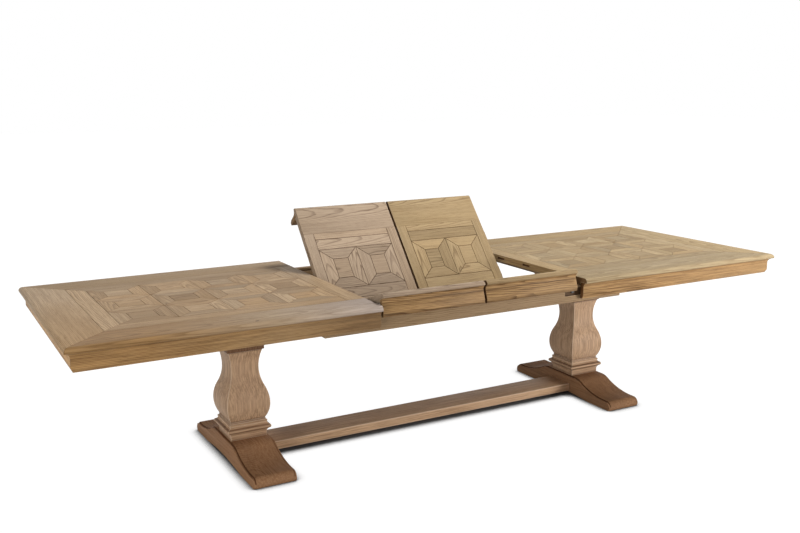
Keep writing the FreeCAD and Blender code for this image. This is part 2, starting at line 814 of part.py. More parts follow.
def half_top(side):
    """One half top: core, border planks, parquet, aprons, runners and seam tongues or slots."""
    word = SIDES[side]
    start = "seam" if side == RIGHT else "-table_end"
    field_start = "seam_inner" if side == RIGHT else "-end_border_inner"
    core = box(
        field_start, "-border_inner", "top_underside", "end_border_inner - seam_inner",
        "2 * border_inner", "parquet_bottom - top_underside", "Core")
    piece(core, f"{word}_top_core")

    borders, aprons = [], []
    for end in ENDS:
        plan = [
            (f"{side} * seam", f"{end} * half_width"),
            (f"{side} * table_end", f"{end} * half_width"),
            (f"{side} * end_border_inner", f"{end} * border_inner"),
            (f"{side} * seam", f"{end} * border_inner"),
        ]
        mitre = profile(plan, "XY_Plane", "apron_bottom", "apron_drop", "MitrePlan")
        plank = profile(
            nosed_outline(end, "half_width", "border_inner", "apron_inner"),
            "YZ_Plane", start, "half_length", "BorderPlank")
        apron = profile(
            apron_outline(end, "half_width", "fascia", "apron_inner"),
            "YZ_Plane", start, "half_length", "ApronBoard")
        borders.append(common(plank, mitre, "MitredBorder"))
        aprons.append(common(apron, mitre, "MitredApron"))
    piece(group(borders), f"{word}_long_borders")
    piece(group(aprons), f"{word}_long_aprons")

    end_plan = [
        (f"{side} * table_end", "-half_width"),
        (f"{side} * table_end", "half_width"),
        (f"{side} * end_border_inner", "border_inner"),
        (f"{side} * end_border_inner", "-border_inner"),
    ]
    end_mitre = profile(end_plan, "XY_Plane", "apron_bottom", "apron_drop", "EndMitrePlan")
    end_plank = profile(
        nosed_outline(side, "table_end", "end_border_inner", "end_apron_inner"),
        "XZ_Plane", "-half_width", "table_width", "EndPlank")
    end_apron = profile(
        apron_outline(side, "table_end", "end_fascia", "end_apron_inner"),
        "XZ_Plane", "-half_width", "table_width", "EndApronBoard")
    piece(common(end_plank, end_mitre, "MitredEndBorder"), f"{word}_end_border")
    piece(common(end_apron, end_mitre, "MitredEndApron"), f"{word}_end_apron")

    seam_plank = box(
        "seam" if side == RIGHT else "-seam_inner", "-border_inner", "top_underside",
        "seam_width", "2 * border_inner", "top_thickness", "SeamPlank")
    if side == RIGHT:
        slots = seam_slots("seam", "tongue_bottom", ("-tongue_near", "tongue_near", "tongue_far"))
        piece(cut(seam_plank, slots, "SlottedSeam"), f"{word}_seam_border")
    else:
        piece(seam_plank, f"{word}_seam_border")
        piece(group(seam_tongues("-seam", ("-tongue_near", "tongue_far"))), f"{word}_seam_tongues")

    parquet(half_top_outlines(side), f"{word}_parquet")
    slide_runners(side)


def half_top_outlines(side):
    """Plan outlines of a half top's parquet: three mitred strips and the framed squares."""
    near, far = side * size("seam_inner"), side * size("end_border_inner")
    width, strip = size("border_inner"), size("strip_width")
    inner_far, inner_width = far - side * strip, width - strip
    outlines = [[(far, -width), (far, width), (inner_far, inner_width), (inner_far, -inner_width)]]
    for end in ENDS:
        outlines.append([
            (near, end * width), (far, end * width),
            (inner_far, end * inner_width), (near, end * inner_width)])
    columns, rows = int(size("square_columns")), int(size("square_rows"))
    heart = size("heart_size")
    along, across = (inner_far - near) / columns, 2 * inner_width / rows
    for column in range(columns):
        for row in range(rows):
            x, y = near + column * along, -inner_width + row * across
            ends = sorted((x, x + along))
            outlines += framed_square(ends[0], y, ends[1], y + across, heart, heart)
    return outlines


def slide_runners(side):
    """The two runners under a half top: a tongue in the rail's groove and a slot for the stop bolt."""
    start = "runner_start" if side == RIGHT else "-(runner_start + runner_length)"
    slot_start = "slot_start" if side == RIGHT else "-(slot_start + stop_slot_length)"
    runners = []
    for end in ENDS:
        near = "runner_inner" if end == BACK else "-runner_outer"
        tongue_near = "runner_outer" if end == BACK else "-runner_outer - runner_tongue"
        slot_near = "runner_outer - stop_slot_depth" if end == BACK else "-runner_outer"
        bar = box(
            start, near, "runner_bottom", "runner_length", "runner_width", "runner_depth", "RunnerBar")
        tongue = box(
            start, tongue_near, "groove_bottom + tongue_play", "runner_length", "runner_tongue",
            "groove_height - 2 * tongue_play", "RunnerTongue")
        slot = box(
            slot_start, slot_near, "stop_height - stop_slot_height / 2",
            "stop_slot_length", "stop_slot_depth", "stop_slot_height", "StopSlot")
        runners.append(cut(fuse([bar, tongue], "Runner"), [slot], "RunnerSlotted"))
    piece(group(runners), f"{SIDES[side]}_slide_runners")


def section_pose(end):
    """How a leaf section lies when the leaf is half unfolded, from where it lies when flat."""
    along_x = FreeCAD.Vector(1, 0, 0)
    height = size("table_height")
    pivot = FreeCAD.Vector(0, size("pivot_line"), size("pivot_height"))
    tilt = FreeCAD.Rotation(along_x, -size("front_tilt"))
    front = FreeCAD.Placement(pivot - tilt.multVec(pivot), tilt)
    if end == FRONT:
        return front
    flat_hinge = FreeCAD.Vector(0, 0, height)
    rise = FreeCAD.Rotation(along_x, size("back_rise"))
    return FreeCAD.Placement(front.multVec(flat_hinge) - rise.multVec(flat_hinge), rise)


def leaf_section(word, end):
    """One section of a leaf: panel, parquet, apron, hinge leaves, tongues and, in front, pivot lugs."""
    start = LEAVES[word]
    name = f"{word}_leaf_{ENDS[end]}"
    pose = section_pose(end)
    made = [leaf_panel(word, end, name)]
    made.append(parquet(leaf_outlines(start, end), f"{name}_parquet"))
    apron_section = apron_outline(end, "half_width", "fascia", "apron_inner")
    apron = profile(apron_section, "YZ_Plane", start, "leaf_length", "LeafApron")
    made.append(piece(apron, f"{name}_apron"))
    made.append(piece(group(hinge_leaves(start, end)), f"{name}_hinges"))
    tongues = seam_tongues(f"{start} + leaf_length", leaf_tongues(word, end))
    made.append(piece(group(tongues), f"{name}_tongues"))
    if end == FRONT:
        made.append(piece(group(pivot_lugs(start)), f"{name}_lugs"))
    for part in made:
        part.Placement = pose


def leaf_tongues(word, end):
    """Where a section's right edge has tongues, across the table."""
    if end == FRONT:
        return ("-tongue_near",)
    return ("tongue_far",) if word == "left" else ("tongue_near", "tongue_far")


def leaf_panel(word, end, name):
    """The board of a leaf section, with its nosed edge and its recesses."""
    start = LEAVES[word]
    section = nosed_outline(end, "half_width", "hinge_gap", "apron_inner")
    board = profile(section, "YZ_Plane", start, "leaf_length", "LeafBoard")
    recess = box(
        f"{start} + leaf_stile", "0" if end == BACK else "leaf_border - half_width", "parquet_bottom",
        "leaf_length - 2 * leaf_stile", "half_width - leaf_border", "parquet_thickness", "ParquetRecess")
    tools = [recess]
    for x in hinge_places(start):
        tools.append(box(
            x, "0" if end == BACK else "-hinge_leaf_width", "table_height - hinge_leaf_thickness",
            "hinge_length", "hinge_leaf_width", "hinge_leaf_thickness", "HingeRecess"))
        tools.append(rod(
            x, "0", "table_height", "knuckle_radius + knuckle_play", "hinge_length", "X", "KnuckleRecess"))
    marks = ("-tongue_near",) if end == FRONT else ("tongue_far",)
    tools += seam_slots(start, "tongue_bottom", marks)
    return piece(cut(board, tools, "LeafPanel"), f"{name}_panel")


def leaf_outlines(start, end):
    """Plan outlines of a section's parquet, from its border to its hinge edge."""
    x0 = size(f"{start} + leaf_stile")
    x1 = size(f"{start} + leaf_length - leaf_stile")
    edge = size("half_width - leaf_border")
    thin = edge - size("leaf_thin_plank")
    wide = thin - size("leaf_wide_plank")
    squares = wide - size("leaf_square")
    levels = [edge, thin, wide, squares, squares / 2, size("hinge_gap")]
    outlines = []
    for index in (0, 1, 3, 4):
        outlines.append(rectangle(x0, end * levels[index], x1, end * levels[index + 1]))
    count = int(size("leaf_squares"))
    pitch = (x1 - x0) / count
    low, high = sorted((end * wide, end * squares))
    for column in range(count):
        outlines += framed_square(
            x0 + column * pitch, low, x0 + (column + 1) * pitch, high,
            size("leaf_heart_along"), size("leaf_heart_across"))
    return outlines


def hinge_places(start):
    """Where the two hinges of a leaf begin: in the middle of its two stiles."""
    margin = "(leaf_stile - hinge_length) / 2"
    return [f"{start} + {margin}", f"{start} + leaf_length - leaf_stile + {margin}"]


def hinge_leaves(start, end):
    """The hinge plates of a section: the front ones have two knuckles and the pin, the back ones one."""
    made = []
    for x in hinge_places(start):
        plate = box(
            x, "knuckle_play" if end == BACK else "-hinge_leaf_width",
            "table_height - hinge_leaf_thickness",
            "hinge_length", "hinge_leaf_width - knuckle_play", "hinge_leaf_thickness", "HingePlate")
        inner_start, inner_length = f"{x} + knuckle_length", "hinge_length - 2 * knuckle_length"
        outer = [(x, "knuckle_length"), (f"{x} + hinge_length - knuckle_length", "knuckle_length")]
        middle = [(f"{inner_start} + knuckle_play", f"{inner_length} - 2 * knuckle_play")]
        if end == FRONT:
            own, other = outer, [(inner_start, inner_length)]
        else:
            own = middle
            other = [(place, f"{length} + knuckle_play") for place, length in outer]
            other[1] = (f"{outer[1][0]} - knuckle_play", f"{outer[1][1]} + knuckle_play")
        clearances = [rod(
            place, "0", "table_height", "knuckle_radius + knuckle_play", length, "X", "KnuckleClearance")
            for place, length in other]
        trimmed = cut(plate, clearances, "HingePlateTrimmed")
        knuckles = [
            rod(place, "0", "table_height", "knuckle_radius", length, "X", "Knuckle")
            for place, length in own]
        if end == FRONT:
            pin = rod(x, "0", "table_height", "hinge_pin_radius", "hinge_length", "X", "HingePin")
            made.append(fuse([trimmed] + knuckles + [pin], "FrontHinge"))
        else:
            bore = rod(
                x, "0", "table_height", "hinge_pin_radius + hinge_pin_play", "hinge_length", "X", "PinBore")
            made.append(cut(fuse([trimmed] + knuckles, "BackHinge"), [bore], "BackHingeBored"))
    return made


def pivot_lugs(start):
    """The lugs under a front section that turn on the pivot rod."""
    lugs = []
    for sign in "-+":
        x = f"{start} + leaf_length / 2 {sign} lug_offset - lug_thickness / 2"
        block = box(
            x, "pivot_line - lug_depth / 2", "pivot_height",
            "lug_thickness", "lug_depth", "lug_height", "LugBlock")
        eye_place = (x, "pivot_line", "pivot_height")
        eye = rod(*eye_place, "lug_radius", "lug_thickness", "X", "LugEye")
        bore = rod(*eye_place, "rod_radius + rod_clearance", "lug_thickness", "X", "LugBore")
        lugs.append(cut(fuse([block, eye], "Lug"), [bore], "LugBored"))
    return lugs


def check_objects():
    """Stop if any object failed to recompute or any sub-part has no valid shape."""
    failed = [o.Name for o in doc.Objects if "Invalid" in o.State or "Error" in o.State]
    broken = [p.Label for p in pieces if p.Shape.isNull() or not p.Shape.isValid()]
    if failed or broken:
        raise RuntimeError(f"failed objects {failed}, broken sub-parts {broken}")


def write_parts():
    """Write each sub-part to its own STEP file."""
    os.makedirs("parts", exist_ok=True)
    for part in pieces:
        part.Shape.exportStep(f"parts/{part.Label}.step")
        box_of = part.Shape.BoundBox
        print(f"{part.Label}: {len(part.Shape.Solids)} solids, {part.Shape.Volume / 1e6:.3f} litres, "
              f"z {box_of.ZMin:.1f} to {box_of.ZMax:.1f}")


sizes = make_sheet("Sizes", SIZES)
places = make_sheet("Places", {alias: "=" + re.sub(
    r"[a-z][a-z_]*", lambda m: f"Sizes.{m.group(0)}" if m.group(0) in SIZES else m.group(0), formula)
    for alias, formula in PLACES.items()})

feet()
pedestals()
stretcher()
tie_rods()
bearers()
cross_rails()
side_rails()
frame_bolts()
pivot_brackets()
pivot_rods()
for table_side in SIDES:
    half_top(table_side)
for leaf_word in LEAVES:
    for leaf_end in ENDS:
        leaf_section(leaf_word, leaf_end)

doc.recompute()
check_objects()
write_parts()
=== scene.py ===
"""Extension table with half unfolded butterfly leaves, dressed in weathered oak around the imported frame.

Metres. X runs along the table, Y from its front to its back, Z up from the floor.
"""

import json
import logging
import math
import random
from collections.abc import Callable, Iterable, Sequence
from dataclasses import dataclass, field, replace
from enum import Enum

import bpy
import numpy as np
from mathutils import Matrix, Vector

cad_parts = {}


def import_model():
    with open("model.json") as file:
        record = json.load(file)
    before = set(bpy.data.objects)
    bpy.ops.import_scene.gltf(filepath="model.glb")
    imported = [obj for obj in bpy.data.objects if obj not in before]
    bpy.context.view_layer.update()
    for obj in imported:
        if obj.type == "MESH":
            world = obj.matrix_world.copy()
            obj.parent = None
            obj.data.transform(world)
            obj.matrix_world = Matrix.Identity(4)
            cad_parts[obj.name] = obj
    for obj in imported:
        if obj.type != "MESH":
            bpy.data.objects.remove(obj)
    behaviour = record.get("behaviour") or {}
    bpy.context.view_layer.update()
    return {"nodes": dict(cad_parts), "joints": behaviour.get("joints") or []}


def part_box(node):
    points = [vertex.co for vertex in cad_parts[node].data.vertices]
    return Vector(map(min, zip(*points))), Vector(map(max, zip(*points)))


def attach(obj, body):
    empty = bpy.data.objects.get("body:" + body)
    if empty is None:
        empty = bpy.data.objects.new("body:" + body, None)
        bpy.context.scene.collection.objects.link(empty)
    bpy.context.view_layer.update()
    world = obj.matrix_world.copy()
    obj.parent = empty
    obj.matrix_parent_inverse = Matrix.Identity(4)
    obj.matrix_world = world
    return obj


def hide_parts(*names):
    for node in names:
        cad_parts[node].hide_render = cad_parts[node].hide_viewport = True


log = logging.getLogger("table")

Colour = tuple[float, float, float]
Piece = bpy.types.Object
Socket = bpy.types.NodeSocket

# Vertex attributes: the grain's place, a random tone, a tint that is partly random and partly painted
# light, and painted shade.
GRAIN, TONE, WARMTH_AND_LIGHT, PAINTED_SHADE = "grain", "tone", "warmth", "glaze"
X_AXIS, Z_AXIS = Vector((1, 0, 0)), Vector((0, 0, 1))
FRONT_TO_BACK = Matrix.Scale(-1, 4, Vector((0, 1, 0)))

# Modelling: when points are one, sides of a round, which arrises are sharp, and how far easing reaches
MERGE_DISTANCE = 0.00002
ROUND_SIDES = 32
ARRIS_ANGLE = math.radians(38)
SMOOTH_ANGLE = math.radians(32)
ARRIS_REACH = 0.004

# Oak: how the coordinates along, across and into a board are stretched for each feature
SWAY_SCALE = (1.6, 6.0, 6.0)
STREAK_SCALE = (4.0, 120.0, 120.0)
FIBRE_SCALE = (22.0, 700.0, 700.0)
STROKE_SCALE = (14.0, 260.0, 260.0)
PATCH_SCALE = (3.0, 8.0, 8.0)
KNOT_SCALE = (0.7, 1.0, 1.0)

# Oak: how the growth rings wander, and the colours of pores and knots
SWAY_REACH = 0.03
LOG_TAPER = 0.03
RING_STRETCH = 0.10
HEART_PLACE = (0.3, 0.05, 0.02)
PORE_SHADE: Colour = (0.5, 0.42, 0.36)
KNOT_COLOUR: Colour = (0.07, 0.04, 0.02)


class Place(Enum):
    """A place on the table that the nodes are named for."""

    @property
    def word(self) -> str:
        """The place's name as the nodes spell it."""
        return self.name.lower()


class Side(Place):
    """The two halves of the table along X."""

    LEFT = -1
    RIGHT = 1


class End(Place):
    """The two long sides of the table across Y."""

    FRONT = -1
    BACK = 1


class Grain(Enum):
    """Which of X, Y and Z a board's fibres run along, then across and into the board."""

    ALONG_X = (0, 1, 2)
    ALONG_Y = (1, 0, 2)
    UPRIGHT = (2, 0, 1)


class Cut(Enum):
    """How far a board was sawn from the heart of its log: ranges across the board and into it."""

    FLAT_SAWN = ((-0.03, 0.03), (0.035, 0.085))
    RIFT_SAWN = ((0.06, 0.14), (0.06, 0.14))
    POST_SAWN = ((0.35, 0.55), (0.35, 0.55))


class Face(Enum):
    """A board's material slots: plain faces; dark joints, also used for painted shade; rubbed arrises; end
    grain, also used for painted shade.
    """

    PLAIN = 0
    # Dark joints, and painted shade in recesses, on the baluster's cap and in the foot's step.
    JOINT = 1
    RUBBED = 2
    # End grain, and painted shade in the tongue slots and in the gap between the leaves.
    END = 3


class Source(Enum):
    """Where a timber's pattern takes its coordinates from."""

    BOARD = "board"
    OBJECT_X = "object_x"
    OBJECT_Y = "object_y"


class Shader:
    """The node tree of a material or of the world, filled node by node."""

    def __init__(self, owner: bpy.types.Material | bpy.types.World) -> None:
        """Empty the owner's node tree.

        Args:
            owner: the new material or world.
        """
        owner.use_nodes = True
        self.owner = owner
        self.tree = owner.node_tree
        self.tree.nodes.clear()

    def add(self, kind: str, inputs: dict | None = None, **settings: object) -> bpy.types.Node:
        """Add a node.

        Args:
            kind: the node's type name.
            inputs: sockets to link or values to set, by input name or number.
            settings: the node's own properties.

        Returns:
            The new node.
        """
        node = self.tree.nodes.new(kind)
        for key, value in settings.items():
            setattr(node, key, value)
        for key, value in (inputs or {}).items():
            if isinstance(value, bpy.types.NodeSocket):
                self.tree.links.new(value, node.inputs[key])
            else:
                node.inputs[key].default_value = value
        return node

    def sums(self, operation: str, first: Socket | float, second: Socket | float = 0.0) -> Socket:
        """Work out one number from two.

        Args:
            operation: the name of the sum.
            first: the first number or socket.
            second: the second number or socket.

        Returns:
            The socket with the result.
        """
        return self.add("ShaderNodeMath", {0: first, 1: second}, operation=operation).outputs[0]

    def times(self, first: Socket | float, second: Socket | float) -> Socket:
        """Multiply two numbers."""
        return self.sums("MULTIPLY", first, second)

    def stretched(self, vector: Socket, factors: Sequence[float]) -> Socket:
        """Scale coordinates by a factor for each axis.

        Args:
            vector: the coordinates.
            factors: one factor for each axis.

        Returns:
            The socket with the scaled coordinates.
        """
        node = self.add("ShaderNodeVectorMath", {0: vector, 1: factors}, operation="MULTIPLY")
        return node.outputs[0]

    def noise(self, vector: Socket, scale: float, detail: float = 2.0, rough: float = 0.5) -> Socket:
        """Sample smooth noise.

        Args:
            vector: the coordinates.
            scale: features in each unit of them.
            detail: octaves.
            rough: how strong the finer octaves are.

        Returns:
            The socket with a value from 0 to 1.
        """
        inputs = {"Vector": vector, "Scale": scale, "Detail": detail, "Roughness": rough}
        return self.add("ShaderNodeTexNoise", inputs).outputs[0]

    def ranged(
            self, value: Socket, low: float, high: float, start: float = 0.0,
            stop: float = 1.0) -> Socket:
        """Map a stretch of values smoothly to another.

        Args:
            value: the value to map.
            low: the value that becomes start.
            high: the value that becomes stop.
            start: the result at low.
            stop: the result at high.

        Returns:
            The socket with the mapped value.
        """
        inputs = {"Value": value, "From Min": low, "From Max": high, "To Min": start, "To Max": stop}
        node = self.add("ShaderNodeMapRange", inputs, interpolation_type="SMOOTHSTEP", clamp=True)
        return node.outputs[0]

    def blend(
            self, factor: Socket | float, first: Socket | Colour, second: Socket | Colour,
            mode: str = "MIX") -> Socket:
        """Blend two colours.

        Args:
            factor: the share of the second colour.
            first: the first colour or socket.
            second: the second colour or socket.
            mode: how they are blended.

        Returns:
            The socket with the blended colour.
        """
        colours = [c if isinstance(c, bpy.types.NodeSocket) else (*c, 1.0) for c in (first, second)]
        node = self.add("ShaderNodeMix", {0: factor, 6: colours[0], 7: colours[1]}, data_type="RGBA")
        node.blend_type = mode
        return node.outputs[2]

    def tinted(self, colour: Socket, tint: Socket | Colour) -> Socket:
        """Multiply a colour by a tint."""
        return self.blend(1.0, colour, tint, "MULTIPLY")

    def surface(self, inputs: dict) -> bpy.types.Material:
        """Close the tree with one surface shader.

        Args:
            inputs: the shader's sockets or values by input name.

        Returns:
            The finished material.
        """
        shader = self.add("ShaderNodeBsdfPrincipled", inputs)
        self.add("ShaderNodeOutputMaterial", {"Surface": shader.outputs[0]})
        return self.owner

    def background_rays(self) -> Socket:
        """Tell the rays that show the background: from the camera, off metal and through glass."""
        path = self.add("ShaderNodeLightPath").outputs
        seen = self.sums("MAXIMUM", path["Is Camera Ray"], path["Is Glossy Ray"])
        return self.sums("MAXIMUM", seen, path["Is Transmission Ray"])


@dataclass(frozen=True)
class Timber:
    """One kind of oak: its colours, the scale of its figure and how it is finished."""

    name: str
    pale: Colour
    dark: Colour
    weathered: Colour
    # Colour of dark joints, also of painted shade
    joint_shade: Colour = (0.30, 0.24, 0.20)
    # Colour of end grain, also of painted shade in the slots and in the gap between the leaves
    end_shade: Colour = (0.42, 0.33, 0.27)
    rubbed: Colour = (0.56, 0.42, 0.28)
    # Gold tint: random on every board, and painted shade towards the left top's outer front corner
    golden: Colour = (1.04, 0.98, 0.88)
    # Seam tint: painted sheen on the left top's planks, painted shade on its apron, near the seam
    faded: Colour = (1.0, 1.0, 1.0)
    ring_spacing: float = 0.0052
    ring_strength: float = 0.42
    ring_line: float = 0.35
    streak_strength: float = 0.42
    pore_strength: float = 0.5
    tone_spread: float = 0.16
    patch_share: float = 0.5
    roughness: float = 0.5
    sheen: float = 0.14
    knot_share: float = 0.10
    made: dict = field(default_factory=dict, compare=False, repr=False)

    def coordinates(self, shader: Shader, source: Source) -> Socket:
        """Take the pattern's coordinates from the board or from the object.

        Args:
            shader: the tree that they go into.
            source: where they come from.

        Returns:
            The socket with along, across and depth in metres.
        """
        if source is Source.BOARD:
            return shader.add("ShaderNodeAttribute", attribute_name=GRAIN).outputs["Vector"]
        turn = math.pi / 2 if source is Source.OBJECT_Y else 0.0
        place = shader.add("ShaderNodeTexCoord").outputs["Object"]
        inputs = {"Vector": place, "Location": HEART_PLACE, "Rotation": (0, 0, turn)}
        return shader.add("ShaderNodeMapping", inputs).outputs[0]

    def figure(self, shader: Shader, place: Socket) -> tuple[Socket, Socket, Socket]:
        """Work out the oak's growth rings, its long streaks and its open pores.

        Args:
            shader: the tree that they go into.
            place: along, across and depth in metres.

        Returns:
            Sockets from 0 to 1: rings, streaks and pores.
        """
        sway = shader.noise(shader.stretched(place, SWAY_SCALE), 1.0, 3.0)
        sway = shader.times(shader.sums("SUBTRACT", sway, 0.5), SWAY_REACH)
        along, across, depth = shader.add("ShaderNodeSeparateXYZ", {0: place}).outputs
        taper = shader.times(along, LOG_TAPER)
        bent = shader.add("ShaderNodeCombineXYZ", {
            0: shader.times(along, RING_STRETCH),
            1: shader.sums("ADD", across, sway),
            2: shader.sums("ADD", shader.sums("ADD", depth, taper), sway)}).outputs[0]
        wave_scale = 2 * math.pi / (20 * self.ring_spacing)
        saw = shader.add(
            "ShaderNodeTexWave",
            {"Vector": bent, "Scale": wave_scale, "Distortion": 1.8, "Detail": 2.0,
             "Detail Scale": 0.6, "Detail Roughness": 0.6},
            wave_type="RINGS", rings_direction="X", wave_profile="SAW").outputs["Fac"]
        late_wood = shader.ranged(saw, self.ring_line, 0.9)
        rings = shader.times(late_wood, shader.ranged(saw, 1.0, 0.93))
        streaks = shader.noise(shader.stretched(place, STREAK_SCALE), 1.0, 3.0, 0.62)
        fibres = shader.noise(shader.stretched(place, FIBRE_SCALE), 1.0, 2.0, 0.55)
        strokes = shader.noise(shader.stretched(place, STROKE_SCALE), 1.0, 2.0, 0.5)
        early_wood = shader.ranged(rings, 0.1, 0.6, 0.35, 1.0)
        dashes = shader.times(shader.ranged(strokes, 0.58, 0.70), early_wood)
        pores = shader.sums("MAXIMUM", shader.ranged(fibres, 0.56, 0.72), dashes)
        return rings, shader.ranged(streaks, 0.34, 0.68), pores

    def knots(self, shader: Shader, place: Socket) -> Socket:
        """Scatter a few pin knots.

        Args:
            shader: the tree that they go into.
            place: along, across and depth in metres.

        Returns:
            The socket that is 1 in a knot and 0 elsewhere.
        """
        cells = shader.add(
            "ShaderNodeTexVoronoi", {"Vector": shader.stretched(place, KNOT_SCALE), "Scale": 6.0})
        chance = shader.add("ShaderNodeSeparateColor", {0: cells.outputs["Color"]}).outputs[0]
        chosen = shader.sums("LESS_THAN", chance, self.knot_share)
        near = shader.ranged(cells.outputs["Distance"], 0.05, 0.02)
        return shader.times(chosen, near)

    def material(self, face: Face = Face.PLAIN, source: Source = Source.BOARD) -> bpy.types.Material:
        """Make, or hand out again, this timber's material.

        Args:
            face: the part of a board that it is for.
            source: where its pattern takes its coordinates from.

        Returns:
            The material.
        """
        key = (face, source)
        if key not in self.made:
            self.made[key] = self.mixed(face, source)
        return self.made[key]

    def slots(self) -> list[bpy.types.Material]:
        """The materials of a board's faces, in the order of their slots."""
        return [self.material(face) for face in Face]

    def mixed(self, face: Face, source: Source) -> bpy.types.Material:
        """Make this timber's material from its figure and its finish.

        Args:
            face: the part of a board that it is for.
            source: where its pattern takes its coordinates from.

        Returns:
            The new material.
        """
        shader = Shader(bpy.data.materials.new(f"{self.name}_{face.name.lower()}_{source.value}"))
        place = self.coordinates(shader, source)
        rings, streaks, pores = self.figure(shader, place)
        figure = shader.times(rings, self.ring_strength)
        figure = shader.sums("ADD", figure, shader.times(streaks, self.streak_strength))
        colour = shader.blend(figure, self.pale, self.dark)
        patch = shader.ranged(shader.noise(shader.stretched(place, PATCH_SCALE), 1.0, 3.0), 0.35, 0.7)
        colour = shader.blend(shader.times(patch, self.patch_share), colour, self.weathered)
        if source is Source.BOARD:
            tone = shader.add("ShaderNodeAttribute", attribute_name=TONE).outputs["Fac"]
            light = shader.sums("ADD", 1.0, shader.times(tone, self.tone_spread))
            grey = shader.add("ShaderNodeCombineXYZ", {0: light, 1: light, 2: light}).outputs[0]
            colour = shader.tinted(colour, grey)
            # Gold tint, random on every board; on the left top it paints shade towards the outer front
            # corner, and below 0 it gives the painted seam tint.
            warmth = shader.add("ShaderNodeAttribute", attribute_name=WARMTH_AND_LIGHT).outputs["Fac"]
            for share, tint in ((warmth, self.golden), (shader.times(warmth, -1.0), self.faded)):
                colour = shader.blend(share, colour, shader.tinted(colour, tint))
            # Painted shade: in hollows and creases, under noses, on leaf noses and on the stretcher's top
            # under the table.
            glaze = shader.add("ShaderNodeAttribute", attribute_name=PAINTED_SHADE).outputs["Fac"]
            colour = shader.blend(glaze, colour, shader.tinted(colour, self.joint_shade))
        deep = shader.tinted(colour, PORE_SHADE)
        colour = shader.blend(shader.times(pores, self.pore_strength), colour, deep)
        colour = shader.blend(self.knots(shader, place), colour, KNOT_COLOUR)
        # Dark joints and end grain; these slots also carry painted shade.
        if face in (Face.JOINT, Face.END):
            shade = self.joint_shade if face is Face.JOINT else self.end_shade
            colour = shader.tinted(colour, shade)
        if face is Face.RUBBED:
            colour = shader.blend(0.55, colour, self.rubbed)
        ring_depth = shader.times(rings, -0.3)
        height = shader.sums("ADD", shader.times(pores, -0.7), ring_depth)
        bump = shader.add("ShaderNodeBump", {"Strength": 0.25, "Distance": 0.0004, "Height": height})
        wear = shader.sums("ADD", pores, patch)
        gloss = shader.ranged(wear, 0.0, 2.0, self.roughness, self.roughness + 0.2)
        return shader.surface({
            "Base Color": colour, "Roughness": gloss, "Specular IOR Level": self.sheen,
            "Normal": bump.outputs[0]})


@dataclass(frozen=True)
class Metal:
    """A plated or satin metal with fine scratches and duller patches."""

    name: str
    colour: Colour
    roughness: float
    scratch_scale: float = 900.0
    made: list = field(default_factory=list, compare=False, repr=False)

    def material(self) -> bpy.types.Material:
        """Make, or hand out again, the metal's material."""
        if not self.made:
            self.made.append(self.mixed())
        return self.made[0]

    def mixed(self) -> bpy.types.Material:
        """Make the metal's material from its scratches and patches."""
        shader = Shader(bpy.data.materials.new(self.name))
        place = shader.add("ShaderNodeTexCoord").outputs["Object"]
        scratches = shader.noise(shader.stretched(place, (0.05, 1.0, 1.0)), self.scratch_scale, 3.0, 0.6)
        patches = shader.ranged(shader.noise(place, 60.0, 3.0), 0.35, 0.7)
        dull = tuple(0.62 * c for c in self.colour)
        colour = shader.blend(shader.times(patches, 0.5), self.colour, dull)
        wear = shader.sums("ADD", scratches, patches)
        gloss = shader.ranged(wear, 0.2, 1.6, self.roughness, self.roughness + 0.25)
        bump = shader.add("ShaderNodeBump", {"Strength": 0.1, "Distance": 0.0001, "Height": scratches})
        return shader.surface({
            "Base Color": colour, "Metallic": 1.0, "Roughness": gloss, "Normal": bump.outputs[0]})


# Top oak: the seam tint is a painted sheen, paler and bluish, and the gold tint also paints shade.
TOP_OAK = Timber(
    "oak_top", (0.50, 0.365, 0.23), (0.23, 0.15, 0.081), (0.39, 0.285, 0.185),
    joint_shade=(0.66, 0.60, 0.54), golden=(0.84, 0.68, 0.46), faded=(1.08, 1.25, 1.75),
    ring_strength=0.48, streak_strength=0.48, tone_spread=0.2, sheen=0.07)
RIGHT_TOP_OAK = replace(
    TOP_OAK, name="oak_right_top", pale=(0.505, 0.386, 0.226), dark=(0.232, 0.158, 0.079),
    weathered=(0.396, 0.302, 0.181), made={})
LEFT_LEAF_OAK = Timber(
    "oak_left_leaf", (0.455, 0.343, 0.24), (0.15, 0.097, 0.06), (0.4, 0.305, 0.22),
    ring_spacing=0.0042, ring_strength=0.58, ring_line=0.6, streak_strength=0.3, pore_strength=0.6,
    sheen=0.07)
RIGHT_LEAF_OAK = Timber(
    "oak_right_leaf", (0.45, 0.33, 0.181), (0.16, 0.1, 0.047), (0.4, 0.3, 0.175),
    ring_spacing=0.0042, ring_strength=0.58, ring_line=0.6, streak_strength=0.3, pore_strength=0.6,
    sheen=0.07)
# Apron oak: the seam tint is painted shade near the left seam.
APRON_OAK = Timber(
    "oak_apron", (0.50, 0.303, 0.132), (0.14, 0.072, 0.027), (0.36, 0.23, 0.112),
    rubbed=(0.54, 0.36, 0.19), faded=(0.5, 0.46, 0.42), ring_strength=0.6, streak_strength=0.6,
    pore_strength=0.6)
PEDESTAL_OAK = Timber(
    "oak_pedestal", (0.59, 0.392, 0.245), (0.21, 0.118, 0.062), (0.48, 0.32, 0.21),
    joint_shade=(0.36, 0.29, 0.25), rubbed=(0.74, 0.56, 0.4), ring_spacing=0.008,
    ring_strength=0.2, streak_strength=0.6, knot_share=0.2)
FOOT_OAK = Timber(
    "oak_foot", (0.39, 0.217, 0.116), (0.16, 0.076, 0.036), (0.29, 0.16, 0.088),
    joint_shade=(0.40, 0.33, 0.28), rubbed=(0.52, 0.34, 0.22), ring_strength=0.35, patch_share=0.65,
    sheen=0.03)
